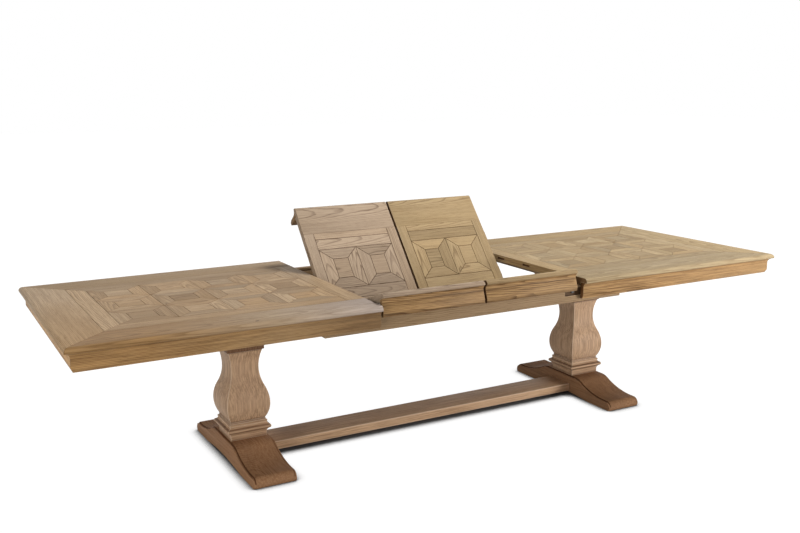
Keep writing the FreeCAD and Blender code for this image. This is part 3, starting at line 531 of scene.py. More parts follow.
FRAME_WOOD = Timber(
    "frame_wood", (0.335, 0.226, 0.124), (0.18, 0.11, 0.056), (0.285, 0.197, 0.117), roughness=0.6)
CORE_BOARD = Timber(
    "core_board", (0.42, 0.31, 0.19), (0.28, 0.19, 0.1), (0.36, 0.27, 0.17), roughness=0.65)
STEEL = Metal("dull_steel", (0.15, 0.145, 0.14), 0.6)
BRASS = Metal("satin_brass", (0.66, 0.47, 0.2), 0.3)


@dataclass(frozen=True)
class Corner:
    """A corner of an outline, and the arc that leaves it for the next one, turning left for 1."""

    out: float
    up: float
    turn: int = 0
    radius: float = 0.0


def traced(corners: Sequence[Corner], pieces: int = 8) -> list[tuple[float, float]]:
    """Follow the straight and round stretches of an open outline.

    Args:
        corners: its corners in order.
        pieces: straight pieces in each round stretch.

    Returns:
        Points along it, first and last corner included.
    """
    points = []
    for corner, following in zip(corners, corners[1:]):
        points.append((corner.out, corner.up))
        if not corner.turn:
            continue
        tail, head = Vector((corner.out, corner.up)), Vector((following.out, following.up))
        chord = head - tail
        left = Vector((-chord.y, chord.x)).normalized()
        reach = math.sqrt(corner.radius ** 2 - chord.length_squared / 4)
        centre = (tail + head) / 2 + left * reach * corner.turn
        opening = 2 * math.asin(chord.length / 2 / corner.radius) * corner.turn
        for step in range(1, pieces):
            turned = Matrix.Rotation(opening * step / pieces, 2) @ (tail - centre)
            points.append(tuple(centre + turned))
    points.append((corners[-1].out, corners[-1].up))
    return points


def drawn_in(points: Sequence[tuple[float, float]], distance: float) -> list[tuple[float, float]]:
    """Draw a convex plan outline in by the same distance on every side.

    Args:
        points: its corners, either way round.
        distance: how far each side moves in.

    Returns:
        The corners of the smaller outline, counter-clockwise.
    """
    area = sum(ax * by - bx * ay for (ax, ay), (bx, by) in zip(points, [*points[1:], points[0]]))
    ring = list(points) if area > 0 else list(points)[::-1]
    lines = []
    for (ax, ay), (bx, by) in zip(ring, [*ring[1:], ring[0]]):
        length = math.hypot(bx - ax, by - ay)
        normal = ((ay - by) / length, (bx - ax) / length)
        lines.append((normal, normal[0] * ax + normal[1] * ay + distance))
    smaller = []
    for (first, reach), (second, next_reach) in zip([lines[-1], *lines[:-1]], lines):
        turn = first[0] * second[1] - first[1] * second[0]
        x = (reach * second[1] - next_reach * first[1]) / turn
        y = (next_reach * first[0] - reach * second[0]) / turn
        smaller.append((x, y))
    return smaller


class Bench:
    """Modelling moves, each made on the piece in hand alone."""

    @staticmethod
    def hold(*pieces: Piece) -> None:
        """Select these pieces alone, with the first one active."""
        bpy.ops.object.select_all(action="DESELECT")
        for piece in pieces:
            piece.select_set(True)
        bpy.context.view_layer.objects.active = pieces[0]

    @staticmethod
    def edit(piece: Piece) -> None:
        """Open a piece for editing with all of it selected."""
        Bench.hold(piece)
        bpy.ops.object.mode_set(mode="EDIT")
        bpy.ops.mesh.select_all(action="SELECT")

    @staticmethod
    def close() -> None:
        """Merge doubles, turn the faces outwards and leave edit mode."""
        bpy.ops.mesh.select_all(action="SELECT")
        bpy.ops.mesh.remove_doubles(threshold=MERGE_DISTANCE)
        bpy.ops.mesh.normals_make_consistent(inside=False)
        bpy.ops.object.mode_set(mode="OBJECT")

    @staticmethod
    def primitive(
            add: Callable[..., set], name: str, slots: Iterable[bpy.types.Material],
            **settings: object) -> Piece:
        """Add a primitive on its own, with its place in its mesh.

        Args:
            add: the operator that adds it.
            name: the piece's name.
            slots: its materials.
            settings: the operator's own settings.

        Returns:
            The piece.
        """
        bpy.ops.object.select_all(action="DESELECT")
        add(**settings)
        bpy.ops.object.transform_apply(location=True, rotation=True, scale=True)
        piece = bpy.context.object
        piece.name = name
        for material in slots:
            piece.data.materials.append(material)
        return piece

    @staticmethod
    def block(name: str, timber: Timber, low: Sequence[float], high: Sequence[float]) -> Piece:
        """Saw a block between two corners.

        Args:
            name: the piece's name.
            timber: what it is made of.
            low: its lowest corner.
            high: its highest corner.

        Returns:
            The block.
        """
        low, high = Vector(low), Vector(high)
        return Bench.primitive(
            bpy.ops.mesh.primitive_cube_add, name, timber.slots(), size=1,
            location=(low + high) / 2, scale=high - low)

    @staticmethod
    def pulled(name: str, timber: Timber, outline: Sequence[Vector], travel: Sequence[float]) -> Piece:
        """Draw a closed outline and pull it along a straight line.

        Args:
            name: the piece's name.
            timber: what it is made of.
            outline: its corners in space.
            travel: how far and which way it is pulled.

        Returns:
            The closed piece.
        """
        piece = Bench.primitive(
            bpy.ops.mesh.primitive_circle_add, name, timber.slots(), vertices=len(outline),
            fill_type="NGON")
        for vertex, place in zip(piece.data.vertices, outline):
            vertex.co = place
        Bench.edit(piece)
        bpy.ops.mesh.extrude_region_move(TRANSFORM_OT_translate={"value": tuple(travel)})
        Bench.close()
        return piece

    @staticmethod
    def turned(
            name: str, timber: Timber, stations: Sequence[tuple[float, float]],
            middle: tuple[float, float]) -> Piece:
        """Raise a square post station by station.

        Args:
            name: the piece's name.
            timber: what it is made of.
            stations: half width and height, from the bottom up.
            middle: where the post stands.

        Returns:
            The closed post.
        """
        half, height = stations[0]
        piece = Bench.primitive(
            bpy.ops.mesh.primitive_plane_add, name, timber.slots(), size=2 * half,
            location=(*middle, height))
        Bench.edit(piece)
        for (before, low), (after, high) in zip(stations, stations[1:]):
            bpy.ops.mesh.extrude_region_move(TRANSFORM_OT_translate={"value": (0, 0, high - low)})
            share = after / before
            bpy.ops.transform.resize(value=(share, share, 1), center_override=(*middle, high))
        Bench.close()
        return piece

    @staticmethod
    def saw(piece: Piece, place: Sequence[float], away: Sequence[float]) -> None:
        """Cut a piece through and take off what lies the given way.

        Args:
            piece: the piece to cut.
            place: a point of the cut.
            away: the direction of the part that comes off.
        """
        Bench.edit(piece)
        bpy.ops.mesh.bisect(plane_co=place, plane_no=away, use_fill=True, clear_outer=True)
        Bench.close()

    @staticmethod
    def score(piece: Piece, place: Sequence[float], across: Sequence[float]) -> None:
        """Divide a piece's faces along a plane.

        Args:
            piece: the piece to score.
            place: a point of the plane.
            across: the plane's normal.
        """
        Bench.edit(piece)
        bpy.ops.mesh.bisect(plane_co=place, plane_no=across)
        bpy.ops.object.mode_set(mode="OBJECT")

    @staticmethod
    def combine(piece: Piece, other: Piece, operation: str) -> None:
        """Cut one piece out of another, or grow them together.

        Args:
            piece: the piece that stays.
            other: the piece that is used up.
            operation: DIFFERENCE or UNION.
        """
        Bench.hold(piece)
        bpy.ops.object.modifier_add(type="BOOLEAN")
        tool = piece.modifiers[-1]
        tool.operation = operation
        tool.solver = "EXACT"
        tool.object = other
        bpy.ops.object.modifier_apply(modifier=tool.name)
        bpy.data.objects.remove(other)
        Bench.edit(piece)
        Bench.close()

    @staticmethod
    def set_plane(plane: bpy.types.BevelModifier, width: float, rounds: int = 2) -> None:
        """Set a bevel to break sharp arrises alone.

        Args:
            plane: the bevel.
            width: how far an arris is taken back.
            rounds: faces across it.
        """
        plane.width = width
        plane.segments = rounds
        plane.limit_method = "ANGLE"
        plane.angle_limit = ARRIS_ANGLE

    @staticmethod
    def ease(piece: Piece, width: float, rounds: int = 2, face: Face = Face.RUBBED) -> None:
        """Break every sharp arris of a piece.

        Args:
            piece: the piece.
            width: how far the arris is taken back.
            rounds: faces across it.
            face: the slot that those faces get.
        """
        Bench.hold(piece)
        bpy.ops.object.modifier_add(type="BEVEL")
        plane = piece.modifiers[-1]
        Bench.set_plane(plane, width, rounds)
        plane.material = face.value
        bpy.ops.object.modifier_apply(modifier=plane.name)

    @staticmethod
    def stain(
            piece: Piece, where: Callable[[Vector], bool], face: Face = Face.JOINT,
            arrises_only: bool = True) -> None:
        """Give the faces in one place another slot, as the dark one of joints and of painted shade in
        recesses.

        Args:
            piece: the piece.
            where: tells from a face's middle whether it lies there.
            face: the slot that they get.
            arrises_only: whether plain faces stay as they are.
        """
        for polygon in piece.data.polygons:
            if arrises_only and polygon.material_index != Face.RUBBED.value:
                continue
            if where(polygon.center):
                polygon.material_index = face.value

    @staticmethod
    def show_ends(piece: Piece, grain: Grain) -> None:
        """Give the faces across the fibres the darker stain that end grain drinks.

        Args:
            piece: the board.
            grain: which way its fibres run.
        """
        axis = grain.value[0]
        for polygon in piece.data.polygons:
            if polygon.material_index == Face.PLAIN.value and abs(polygon.normal[axis]) > 0.95:
                polygon.material_index = Face.END.value

    @staticmethod
    def bore(piece: Piece, place: Sequence[float], radius: float, depth: float) -> None:
        """Drill an upright round hole about a middle point.

        Args:
            piece: the piece.
            place: the middle of the drill's run.
            radius: the hole's radius.
            depth: the length of the drill's run.
        """
        drill = Bench.primitive(
            bpy.ops.mesh.primitive_cylinder_add, "drill", (), vertices=ROUND_SIDES, radius=radius,
            depth=depth, location=place)
        Bench.combine(piece, drill, "DIFFERENCE")

    @staticmethod
    def sink(piece: Piece, timber: Timber, low: Sequence[float], high: Sequence[float]) -> None:
        """Cut a square recess into a piece.

        Args:
            piece: the piece.
            timber: what it is made of.
            low: the recess's lowest corner.
            high: its highest corner.
        """
        Bench.combine(piece, Bench.block("recess", timber, low, high), "DIFFERENCE")

    @staticmethod
    def lay_grain(
            piece: Piece, grain: Grain, cut: Cut, rng: random.Random, steady: float = 0.0,
            luck: float = 0.35) -> Piece:
        """Give a board its own place in the log, its tone and its random gold tint, with no painted shade
        yet.

        Args:
            piece: the board.
            grain: which way its fibres run.
            cut: how far from the heart it was sawn.
            rng: where the board's luck comes from.
            steady: its tone before luck.
            luck: how far luck moves its tone.

        Returns:
            The same board.
        """
        count = len(piece.data.vertices)
        places = np.empty(3 * count, np.float32)
        piece.data.vertices.foreach_get("co", places)
        places = places.reshape(-1, 3)[:, list(grain.value)]
        heart = (rng.uniform(-0.4, 0.4), rng.uniform(*cut.value[0]), rng.uniform(*cut.value[1]))
        places = places - places.mean(axis=0) + np.array(heart, np.float32)
        own = Bench.attribute(piece, GRAIN, "FLOAT_VECTOR")
        own.data.foreach_set("vector", places.astype(np.float32).ravel())
        values = {TONE: steady + luck * rng.uniform(-1, 1), WARMTH_AND_LIGHT: rng.uniform(0, 0.5), PAINTED_SHADE: 0.0}
        for name, value in values.items():
            own = Bench.attribute(piece, name, "FLOAT")
            own.data.foreach_set("value", np.full(count, value, np.float32))
        return piece

    @staticmethod
    def attribute(piece: Piece, name: str, kind: str) -> bpy.types.Attribute:
        """Find a piece's attribute, or give it a new one.

        Args:
            piece: the piece.
            name: the attribute's name.
            kind: the type of its values.

        Returns:
            The attribute, with a value for each vertex.
        """
        held = piece.data.attributes
        return held.get(name) or held.new(name, kind, "POINT")

    @staticmethod
    def warm(piece: Piece, axis: int, start: tuple[float, float], stop: tuple[float, float]) -> Piece:
        """Paint shade and sheen along a board: its tint runs from gold above 0, darker and warmer, to the
        painted seam tint below 0.

        Args:
            piece: the board, its grain laid.
            axis: the axis that the tint changes along.
            start: a place on that axis and the tint there.
            stop: another place and the tint there.

        Returns:
            The same board.
        """
        held = piece.data.attributes[WARMTH_AND_LIGHT].data
        for vertex in piece.data.vertices:
            share = (vertex.co[axis] - start[0]) / (stop[0] - start[0])
            held[vertex.index].value = start[1] + share * (stop[1] - start[1])
        return piece

    @staticmethod
    def glaze(piece: Piece, levels: Sequence[float], reach: float = 0.003, share: float = 0.75) -> Piece:
        """Paint shade round some heights of a moulding.

        Args:
            piece: the moulding, its grain laid.
            levels: the heights.
            reach: how far from them the painted shade lies.
            share: how dark it is.

        Returns:
            The same moulding.
        """
        held = piece.data.attributes[PAINTED_SHADE].data
        for vertex in piece.data.vertices:
            if any(abs(vertex.co.z - level) < reach for level in levels):
                held[vertex.index].value = share
        return piece

    @staticmethod
    def copied(piece: Piece, place: Matrix) -> Piece:
        """Copy a piece with its own mesh to another place.

        Args:
            piece: the piece to copy.
            place: the move or mirroring that takes it there.

        Returns:
            The copy.
        """
        Bench.hold(piece)
        bpy.ops.object.duplicate(linked=False)
        twin = bpy.context.object
        twin.data.transform(place)
        if place.is_negative:
            twin.data.flip_normals()
        return twin

    @staticmethod
    def joined(name: str, pieces: Sequence[Piece]) -> Piece:
        """Join boards into one piece, each still a closed shell.

        Args:
            name: the joined piece's name.
            pieces: the boards.

        Returns:
            The joined piece.
        """
        Bench.hold(*pieces)
        if len(pieces) > 1:
            bpy.ops.object.join()
        pieces[0].name = name
        pieces[0].data.name = name
        return pieces[0]

    @staticmethod
    def deliver(piece: Piece, body: str, slot: str, *nodes: str) -> Piece:
        """Smooth a finished piece and hand it to the body that carries it.

        Args:
            piece: the finished piece.
            body: the body that it moves with.
            slot: the record's material slot; not used.
            nodes: the nodes that it stands for.

        Returns:
            The same piece.
        """
        Bench.hold(piece)
        bpy.ops.object.shade_smooth_by_angle(angle=SMOOTH_ANGLE)
        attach(piece, body)
        if nodes:
            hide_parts(*nodes)
        log.info("%s rides on %s for %s", piece.name, body, ", ".join(nodes) or "itself")
        return piece


@dataclass(frozen=True)
class EdgeMoulding:
    """The section that runs round the tops: a round nose, a cove under it and a bevelled foot."""

    top: float
    underside: float
    nose_underside: float
    apron_bottom: float
    overhang: float = 0.024
    apron_thickness: float = 0.022
    cove_lip: float = 0.006
    cove_height: float = 0.020
    cove_radius: float = 0.024
    nose_round: float = 0.019
    # Painted shade: in a cove, on a leaf's nose, at a leaf apron's cove bottom and foot, and the width of
    # those lines
    cove_glaze: float = 0.4
    leaf_nose_rim: float = 0.3
    leaf_nose_glaze: float = 0.3
    leaf_cove_glaze: float = 0.75
    leaf_foot_glaze: float = 0.6
    glaze_line: float = 0.0025
    toe_in: float = 0.008
    toe_height: float = 0.016

    @classmethod
    def from_frame(cls) -> "EdgeMoulding":
        """Read the moulding's heights from the left half top."""
        plank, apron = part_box("left_long_borders"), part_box("left_long_aprons")
        return cls(plank[1].z, plank[0].z, apron[1].z, apron[0].z)

    @property
    def cove_bottom(self) -> float:
        """The height of the cove's lower edge."""
        return self.nose_underside - self.cove_height

    def plank(self, inner: float, outer: float) -> list[tuple[float, float]]:
        """Outline of a top plank with its nose.

        Args:
            inner: how far out its inner edge lies.
            outer: how far out its nose reaches.

        Returns:
            Points of the closed section, as distance out and height.
        """
        lip = self.top - self.nose_underside - self.nose_round
        rebate = outer - self.overhang - self.apron_thickness
        return traced([
            Corner(inner, self.top),
            Corner(outer - self.nose_round, self.top, -1, self.nose_round),
            Corner(outer, self.top - self.nose_round, -1, lip),
            Corner(outer - lip, self.nose_underside),
            Corner(rebate, self.nose_underside),
            Corner(rebate, self.underside),
            Corner(inner, self.underside)], 7)

    def apron(self, outer: float) -> list[tuple[float, float]]:
        """Outline of an apron under a nose.

        Args:
            outer: how far out the nose above it reaches.

        Returns:
            Points of the closed section, as distance out and height.
        """
        face = outer - self.overhang
        inner = face - self.apron_thickness
        return traced([
            Corner(inner, self.nose_underside),
            Corner(outer - self.cove_lip, self.nose_underside, 1, self.cove_radius),
            Corner(face, self.cove_bottom),
            Corner(face, self.apron_bottom + self.toe_height),
            Corner(face - self.toe_in, self.apron_bottom),
            Corner(inner, self.apron_bottom)], 8)

    def glaze_cove(self, board: Piece) -> Piece:
        """Paint shade in the cove of an apron that lies flat, under its nose."""
        return Bench.glaze(board, (self.nose_underside,), self.cove_height / 3, self.cove_glaze)

    def glaze_leaf_nose(self, plank: Piece) -> Piece:
        """Paint shade on the nose of a leaf's plank that lies flat, below its rim."""
        rim = self.top - self.leaf_nose_rim * self.nose_round
        reach = (rim - self.nose_underside) / 2
        return Bench.glaze(plank, (rim - reach,), 1.1 * reach, self.leaf_nose_glaze)

    def score_cove(self, board: Piece) -> None:
        """Mark a line just below the cove of an apron that lies flat, where its painted shade ends."""
        Bench.score(board, (self.cove_bottom - self.glaze_line) * Z_AXIS, Z_AXIS)

    def glaze_leaf_apron(self, board: Piece) -> Piece:
        """Paint shade under the nose, along the cove's lower edge and at the foot of a leaf's apron that
        lies flat.
        """
        line = self.glaze_line / 2
        Bench.glaze(board, (self.nose_underside,), self.cove_height / 3, self.leaf_nose_glaze)
        Bench.glaze(board, (self.cove_bottom,), line, self.leaf_cove_glaze)
        return Bench.glaze(board, (self.apron_bottom,), line, self.leaf_foot_glaze)


@dataclass(frozen=True)
class TongueSlot:
    """A slot in a board's left edge that takes a tongue of the next top."""

    width: float = 0.062
    height: float = 0.011
    depth: float = 0.011
    drop: float = 0.0225

    def cut(self, board: Piece, timber: Timber, edge: float, middle: float, top: float) -> None:
        """Cut the slot.

        Args:
            board: the board.
            timber: what it is made of.
            edge: where its left edge lies along the table.
            middle: where the slot's middle lies across the table.
            top: the height of the board's top.
        """
        corner = Vector((edge - self.depth, middle - self.width / 2, top - self.drop))
        size = Vector((2 * self.depth, self.width, self.height))
        Bench.sink(board, timber, corner, corner + size)


@dataclass
class ParquetField:
    """Separate blocks of parquet between two heights, cut by plan outlines."""

    timber: Timber
    bottom: float
    top: float
    rng: random.Random
    luck: float = 1.0
    joint: float = 0.0005
    arris: float = 0.0011
    heart_tone: float = -0.2
    blocks: list[Piece] = field(default_factory=list)
    shapes: dict[tuple, tuple[Piece, Vector]] = field(default_factory=dict)

    def shaped(self, outline: Sequence[tuple[float, float]]) -> Piece:
        """Model a block, or copy the one of the same shape that was modelled before.

        Args:
            outline: its plan before the joint is taken off.

        Returns:
            The block.
        """
        ring = [Vector((x, y, self.bottom)) for x, y in drawn_in(outline, self.joint / 2)]
        key = tuple((round(p.x - ring[0].x, 5), round(p.y - ring[0].y, 5)) for p in ring)
        if key in self.shapes:
            model, place = self.shapes[key]
            return Bench.copied(model, Matrix.Translation(ring[0] - place))
        piece = Bench.pulled("block", self.timber, ring, (0, 0, self.top - self.bottom))
        Bench.ease(piece, self.arris, 1, Face.JOINT)
        self.shapes[key] = piece, ring[0]
        return piece

    def block(self, outline: Sequence[tuple[float, float]], grain: Grain, steady: float = 0.0) -> Piece:
        """Cut one block.

        Args:
            outline: its plan before the joint is taken off.
            grain: which way its fibres run.
            steady: its tone before luck.

        Returns:
            The block, kept in the field.
        """
        piece = self.shaped(outline)
        cut = self.rng.choice((Cut.FLAT_SAWN, Cut.RIFT_SAWN))
        self.blocks.append(Bench.lay_grain(piece, grain, cut, self.rng, steady, self.luck))
        return piece

    def plank(self, x0: float, y0: float, x1: float, y1: float, grain: Grain) -> Piece:
        """Cut one straight plank.

        Args:
            x0: its first edge along the table.
            y0: its first edge across the table.
            x1: its other edge along the table.
            y1: its other edge across the table.
            grain: which way its fibres run.

        Returns:
            The plank, kept in the field.
        """
        return self.block([(x0, y0), (x1, y0), (x1, y1), (x0, y1)], grain)

    def square(self, x0: float, y0: float, x1: float, y1: float, heart: tuple[float, float]) -> None:
        """Cut a square: a heart and four mitred boards round it.

        Args:
            x0: its lower edge along the table.
            y0: its lower edge across the table.
            x1: its upper edge along the table.
            y1: its upper edge across the table.
            heart: the heart's length along and across the table.
        """
        mx, my = (x0 + x1) / 2, (y0 + y1) / 2
        inner = [(mx - heart[0] / 2, my - heart[1] / 2), (mx + heart[0] / 2, my - heart[1] / 2),
                 (mx + heart[0] / 2, my + heart[1] / 2), (mx - heart[0] / 2, my + heart[1] / 2)]
        outer = [(x0, y0), (x1, y0), (x1, y1), (x0, y1)]
        for index in range(4):
            following = (index + 1) % 4
            grain = Grain.ALONG_Y if index % 2 else Grain.ALONG_X
            self.block([outer[index], outer[following], inner[following], inner[index]], grain)
        self.block(inner, Grain.ALONG_X, self.heart_tone)

    def finished(self, name: str) -> Piece:
        """Join the blocks into one piece."""
        return Bench.joined(name, self.blocks)


@dataclass
class HalfTop:
    """One drawn half top: border planks, parquet and aprons."""

    side: Side
    moulding: EdgeMoulding
    strip: float = 0.077
    heart: float = 0.110
    columns: int = 4
    rows: int = 3
    arris: float = 0.0012
    inner_reach: float = 0.010
    slot: TongueSlot = TongueSlot()
    slot_places: tuple[float, ...] = (-0.113, 0.113, 0.330)
    darker_border: float = -0.8
    # Painted shade in gold at the outer end and the front of the left top, and painted sheen near its
    # seam.
    golden_end: float = 1.6
    end_tints: tuple[float, float] = (0.5, 0.0)
    faded_seam: float = -0.9
    pale_end: float = 0.5
    pale_apron: float = 2.0
    calm_luck: float = 0.85

    def __post_init__(self) -> None:
        """Read where the half top lies from the frame."""
        word = self.side.word
        left = self.side is Side.LEFT
        self.border_tone = self.darker_border if left else 0.0
        self.parquet_luck = 1.0 if left else self.calm_luck
        self.timber = TOP_OAK if left else RIGHT_TOP_OAK
        self.body = f"{word}_top"
        low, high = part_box(f"{word}_long_borders")
        self.half_width = high.y
        seam_low, seam_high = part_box(f"{word}_seam_border")
        self.border_inner = seam_high.y
        end_low, end_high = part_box(f"{word}_end_border")
        self.seam, self.outer = (high.x, low.x) if left else (low.x, high.x)
        self.seam_inner = seam_low.x if left else seam_high.x
        self.end_inner = end_high.x if left else end_low.x
        self.parquet_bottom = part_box(f"{word}_parquet")[0].z
        self.rng = random.Random(f"{word} half top")

    def mitre(self, piece: Piece, end: End, keep_long: bool) -> None:
        """Cut a corner mitre.

        Args:
            piece: the plank or apron.
            end: the corner's long side.
            keep_long: whether the piece on the long side stays.
        """
        corner = Vector((self.outer, end.value * self.half_width, 0))
        inner = Vector((self.end_inner, end.value * self.border_inner, 0))
        along = corner - inner
        away = Vector((-along.y, along.x, 0)).normalized()
        outwards = away.x * self.side.value > 0
        if outwards != keep_long:
            away = -away
        Bench.saw(piece, corner, away)

    def in_mitre(self, place: Vector) -> bool:
        """Tell whether a face lies in one of the corner mitres."""
        from_end = abs(self.outer - place.x)
        from_side = self.half_width - abs(place.y)
        return abs(from_end - from_side) < 2.5 * self.arris

    def long_boards(
            self, name: str, outline: list[tuple[float, float]], timber: Timber, steady: float) -> Piece:
        """Run a section along the front and the back, and mitre it at the outer corners.

        Args:
            name: the joined piece's name.
            outline: the section, as distance out and height.
            timber: what it is made of.
            steady: the boards' tone before luck.

        Returns:
            The two boards as one piece.
        """
        ring = [Vector((self.seam, End.FRONT.value * out, up)) for out, up in outline]
        front = Bench.pulled(name, timber, ring, (self.outer - self.seam, 0, 0))
        self.mitre(front, End.FRONT, True)
        Bench.ease(front, self.arris)
        inner = self.border_inner + self.inner_reach
        Bench.stain(front, lambda p: self.in_mitre(p) or abs(p.y) < inner)
        Bench.show_ends(front, Grain.ALONG_X)
        boards = [front, Bench.copied(front, FRONT_TO_BACK)]
        for board in boards:
            Bench.lay_grain(board, Grain.ALONG_X, Cut.FLAT_SAWN, self.rng, steady)
        # On the left, paint gold shade towards the outer end and the seam tint near the seam: sheen on the
        # planks, shade on the apron.
        if self.side is Side.LEFT:
            Bench.warm(front, 0, (self.outer, self.golden_end), (self.seam, self.faded_seam))
        return Bench.joined(name, boards)

    def end_board(
            self, name: str, outline: list[tuple[float, float]], timber: Timber, steady: float) -> Piece:
        """Run a section across the end, and mitre it at both corners.

        Args:
            name: the piece's name.
            outline: the section, as distance out along the table and height.
            timber: what it is made of.
            steady: the board's tone before luck.

        Returns:
            The board.
        """
        ring = [Vector((self.side.value * out, -self.half_width, up)) for out, up in outline]
        board = Bench.pulled(name, timber, ring, (0, 2 * self.half_width, 0))
        for end in End:
            self.mitre(board, end, False)
        Bench.ease(board, self.arris)
        inner = abs(self.end_inner) + self.inner_reach
        Bench.stain(board, lambda p: self.in_mitre(p) or abs(p.x) < inner)
        Bench.lay_grain(board, Grain.ALONG_Y, Cut.RIFT_SAWN, self.rng, steady)
        # On the left, paint gold shade towards the front.
        if self.side is Side.LEFT:
            front, back = self.end_tints
            Bench.warm(board, 1, (-self.half_width, front), (self.half_width, back))
        return board

    def seam_board(self, name: str) -> Piece:
        """Make the plank along the seam, with slots for the tongues on the right."""
        low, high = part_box(f"{self.side.word}_seam_border")
        board = Bench.block(name, self.timber, low, high)
        if self.side is Side.RIGHT:
            for middle in self.slot_places:
                self.slot.cut(board, self.timber, low.x, middle, high.z)
        Bench.ease(board, self.arris)
        edge = self.border_inner - ARRIS_REACH
        Bench.stain(board, lambda p: abs(p.x - self.seam_inner) < ARRIS_REACH or abs(p.y) > edge)
        # Painted shade inside the tongue slots.
        inside = (2 * self.arris, 1.1 * self.slot.depth)
        Bench.stain(
            board, lambda p: inside[0] < abs(p.x - self.seam) < inside[1], Face.END, arrises_only=False)
        return Bench.lay_grain(board, Grain.ALONG_Y, Cut.RIFT_SAWN, self.rng)

    def parquet(self, name: str) -> Piece:
        """Lay three mitred strips and the framed squares."""
        laid = ParquetField(
            self.timber, self.parquet_bottom, self.moulding.top, self.rng, self.parquet_luck)
        near, far, width = self.seam_inner, self.end_inner, self.border_inner
        inner_far, inner_width = far - self.side.value * self.strip, width - self.strip
        laid.block([(far, -width), (far, width), (inner_far, inner_width), (inner_far, -inner_width)],
                   Grain.ALONG_Y)
        for end in End:
            sign = end.value
            laid.block([(near, sign * width), (far, sign * width),
                        (inner_far, sign * inner_width), (near, sign * inner_width)], Grain.ALONG_X)
        along, across = (inner_far - near) / self.columns, 2 * inner_width / self.rows
        for column in range(self.columns):
            for row in range(self.rows):
                xs = sorted((near + column * along, near + (column + 1) * along))
                y = -inner_width + row * across
                laid.square(xs[0], y, xs[1], y + across, (self.heart, self.heart))
        return laid.finished(name)

    def build(self) -> None:
        """Model and dress the half top."""
        word, table_end = self.side.word, abs(self.outer)
        # The aprons get painted shade in their coves, under the nose.
        dark = self.moulding.glaze_cove
        planks = self.moulding.plank(self.border_inner, self.half_width)
        end_plank = self.moulding.plank(abs(self.end_inner), table_end)
        apron, end_apron = self.moulding.apron(self.half_width), self.moulding.apron(table_end)
        for piece, slot, node in (
                (self.long_boards(f"{word}_border_planks", planks, self.timber, self.border_tone),
                 "oak_top", "long_borders"),
                (self.end_board(f"{word}_end_plank", end_plank, self.timber, self.pale_end),
                 "oak_top", "end_border"),
                (self.seam_board(f"{word}_seam_plank"), "oak_top", "seam_border"),
                (dark(self.long_boards(f"{word}_apron_boards", apron, APRON_OAK, 0.0)),
                 "oak_apron", "long_aprons"),
                (dark(self.end_board(f"{word}_end_apron_board", end_apron, APRON_OAK, self.pale_apron)),
                 "oak_apron", "end_apron"),
                (self.parquet(f"{word}_parquet_blocks"), "oak_parquet", "parquet")):
            Bench.deliver(piece, self.body, slot, f"{word}_{node}")


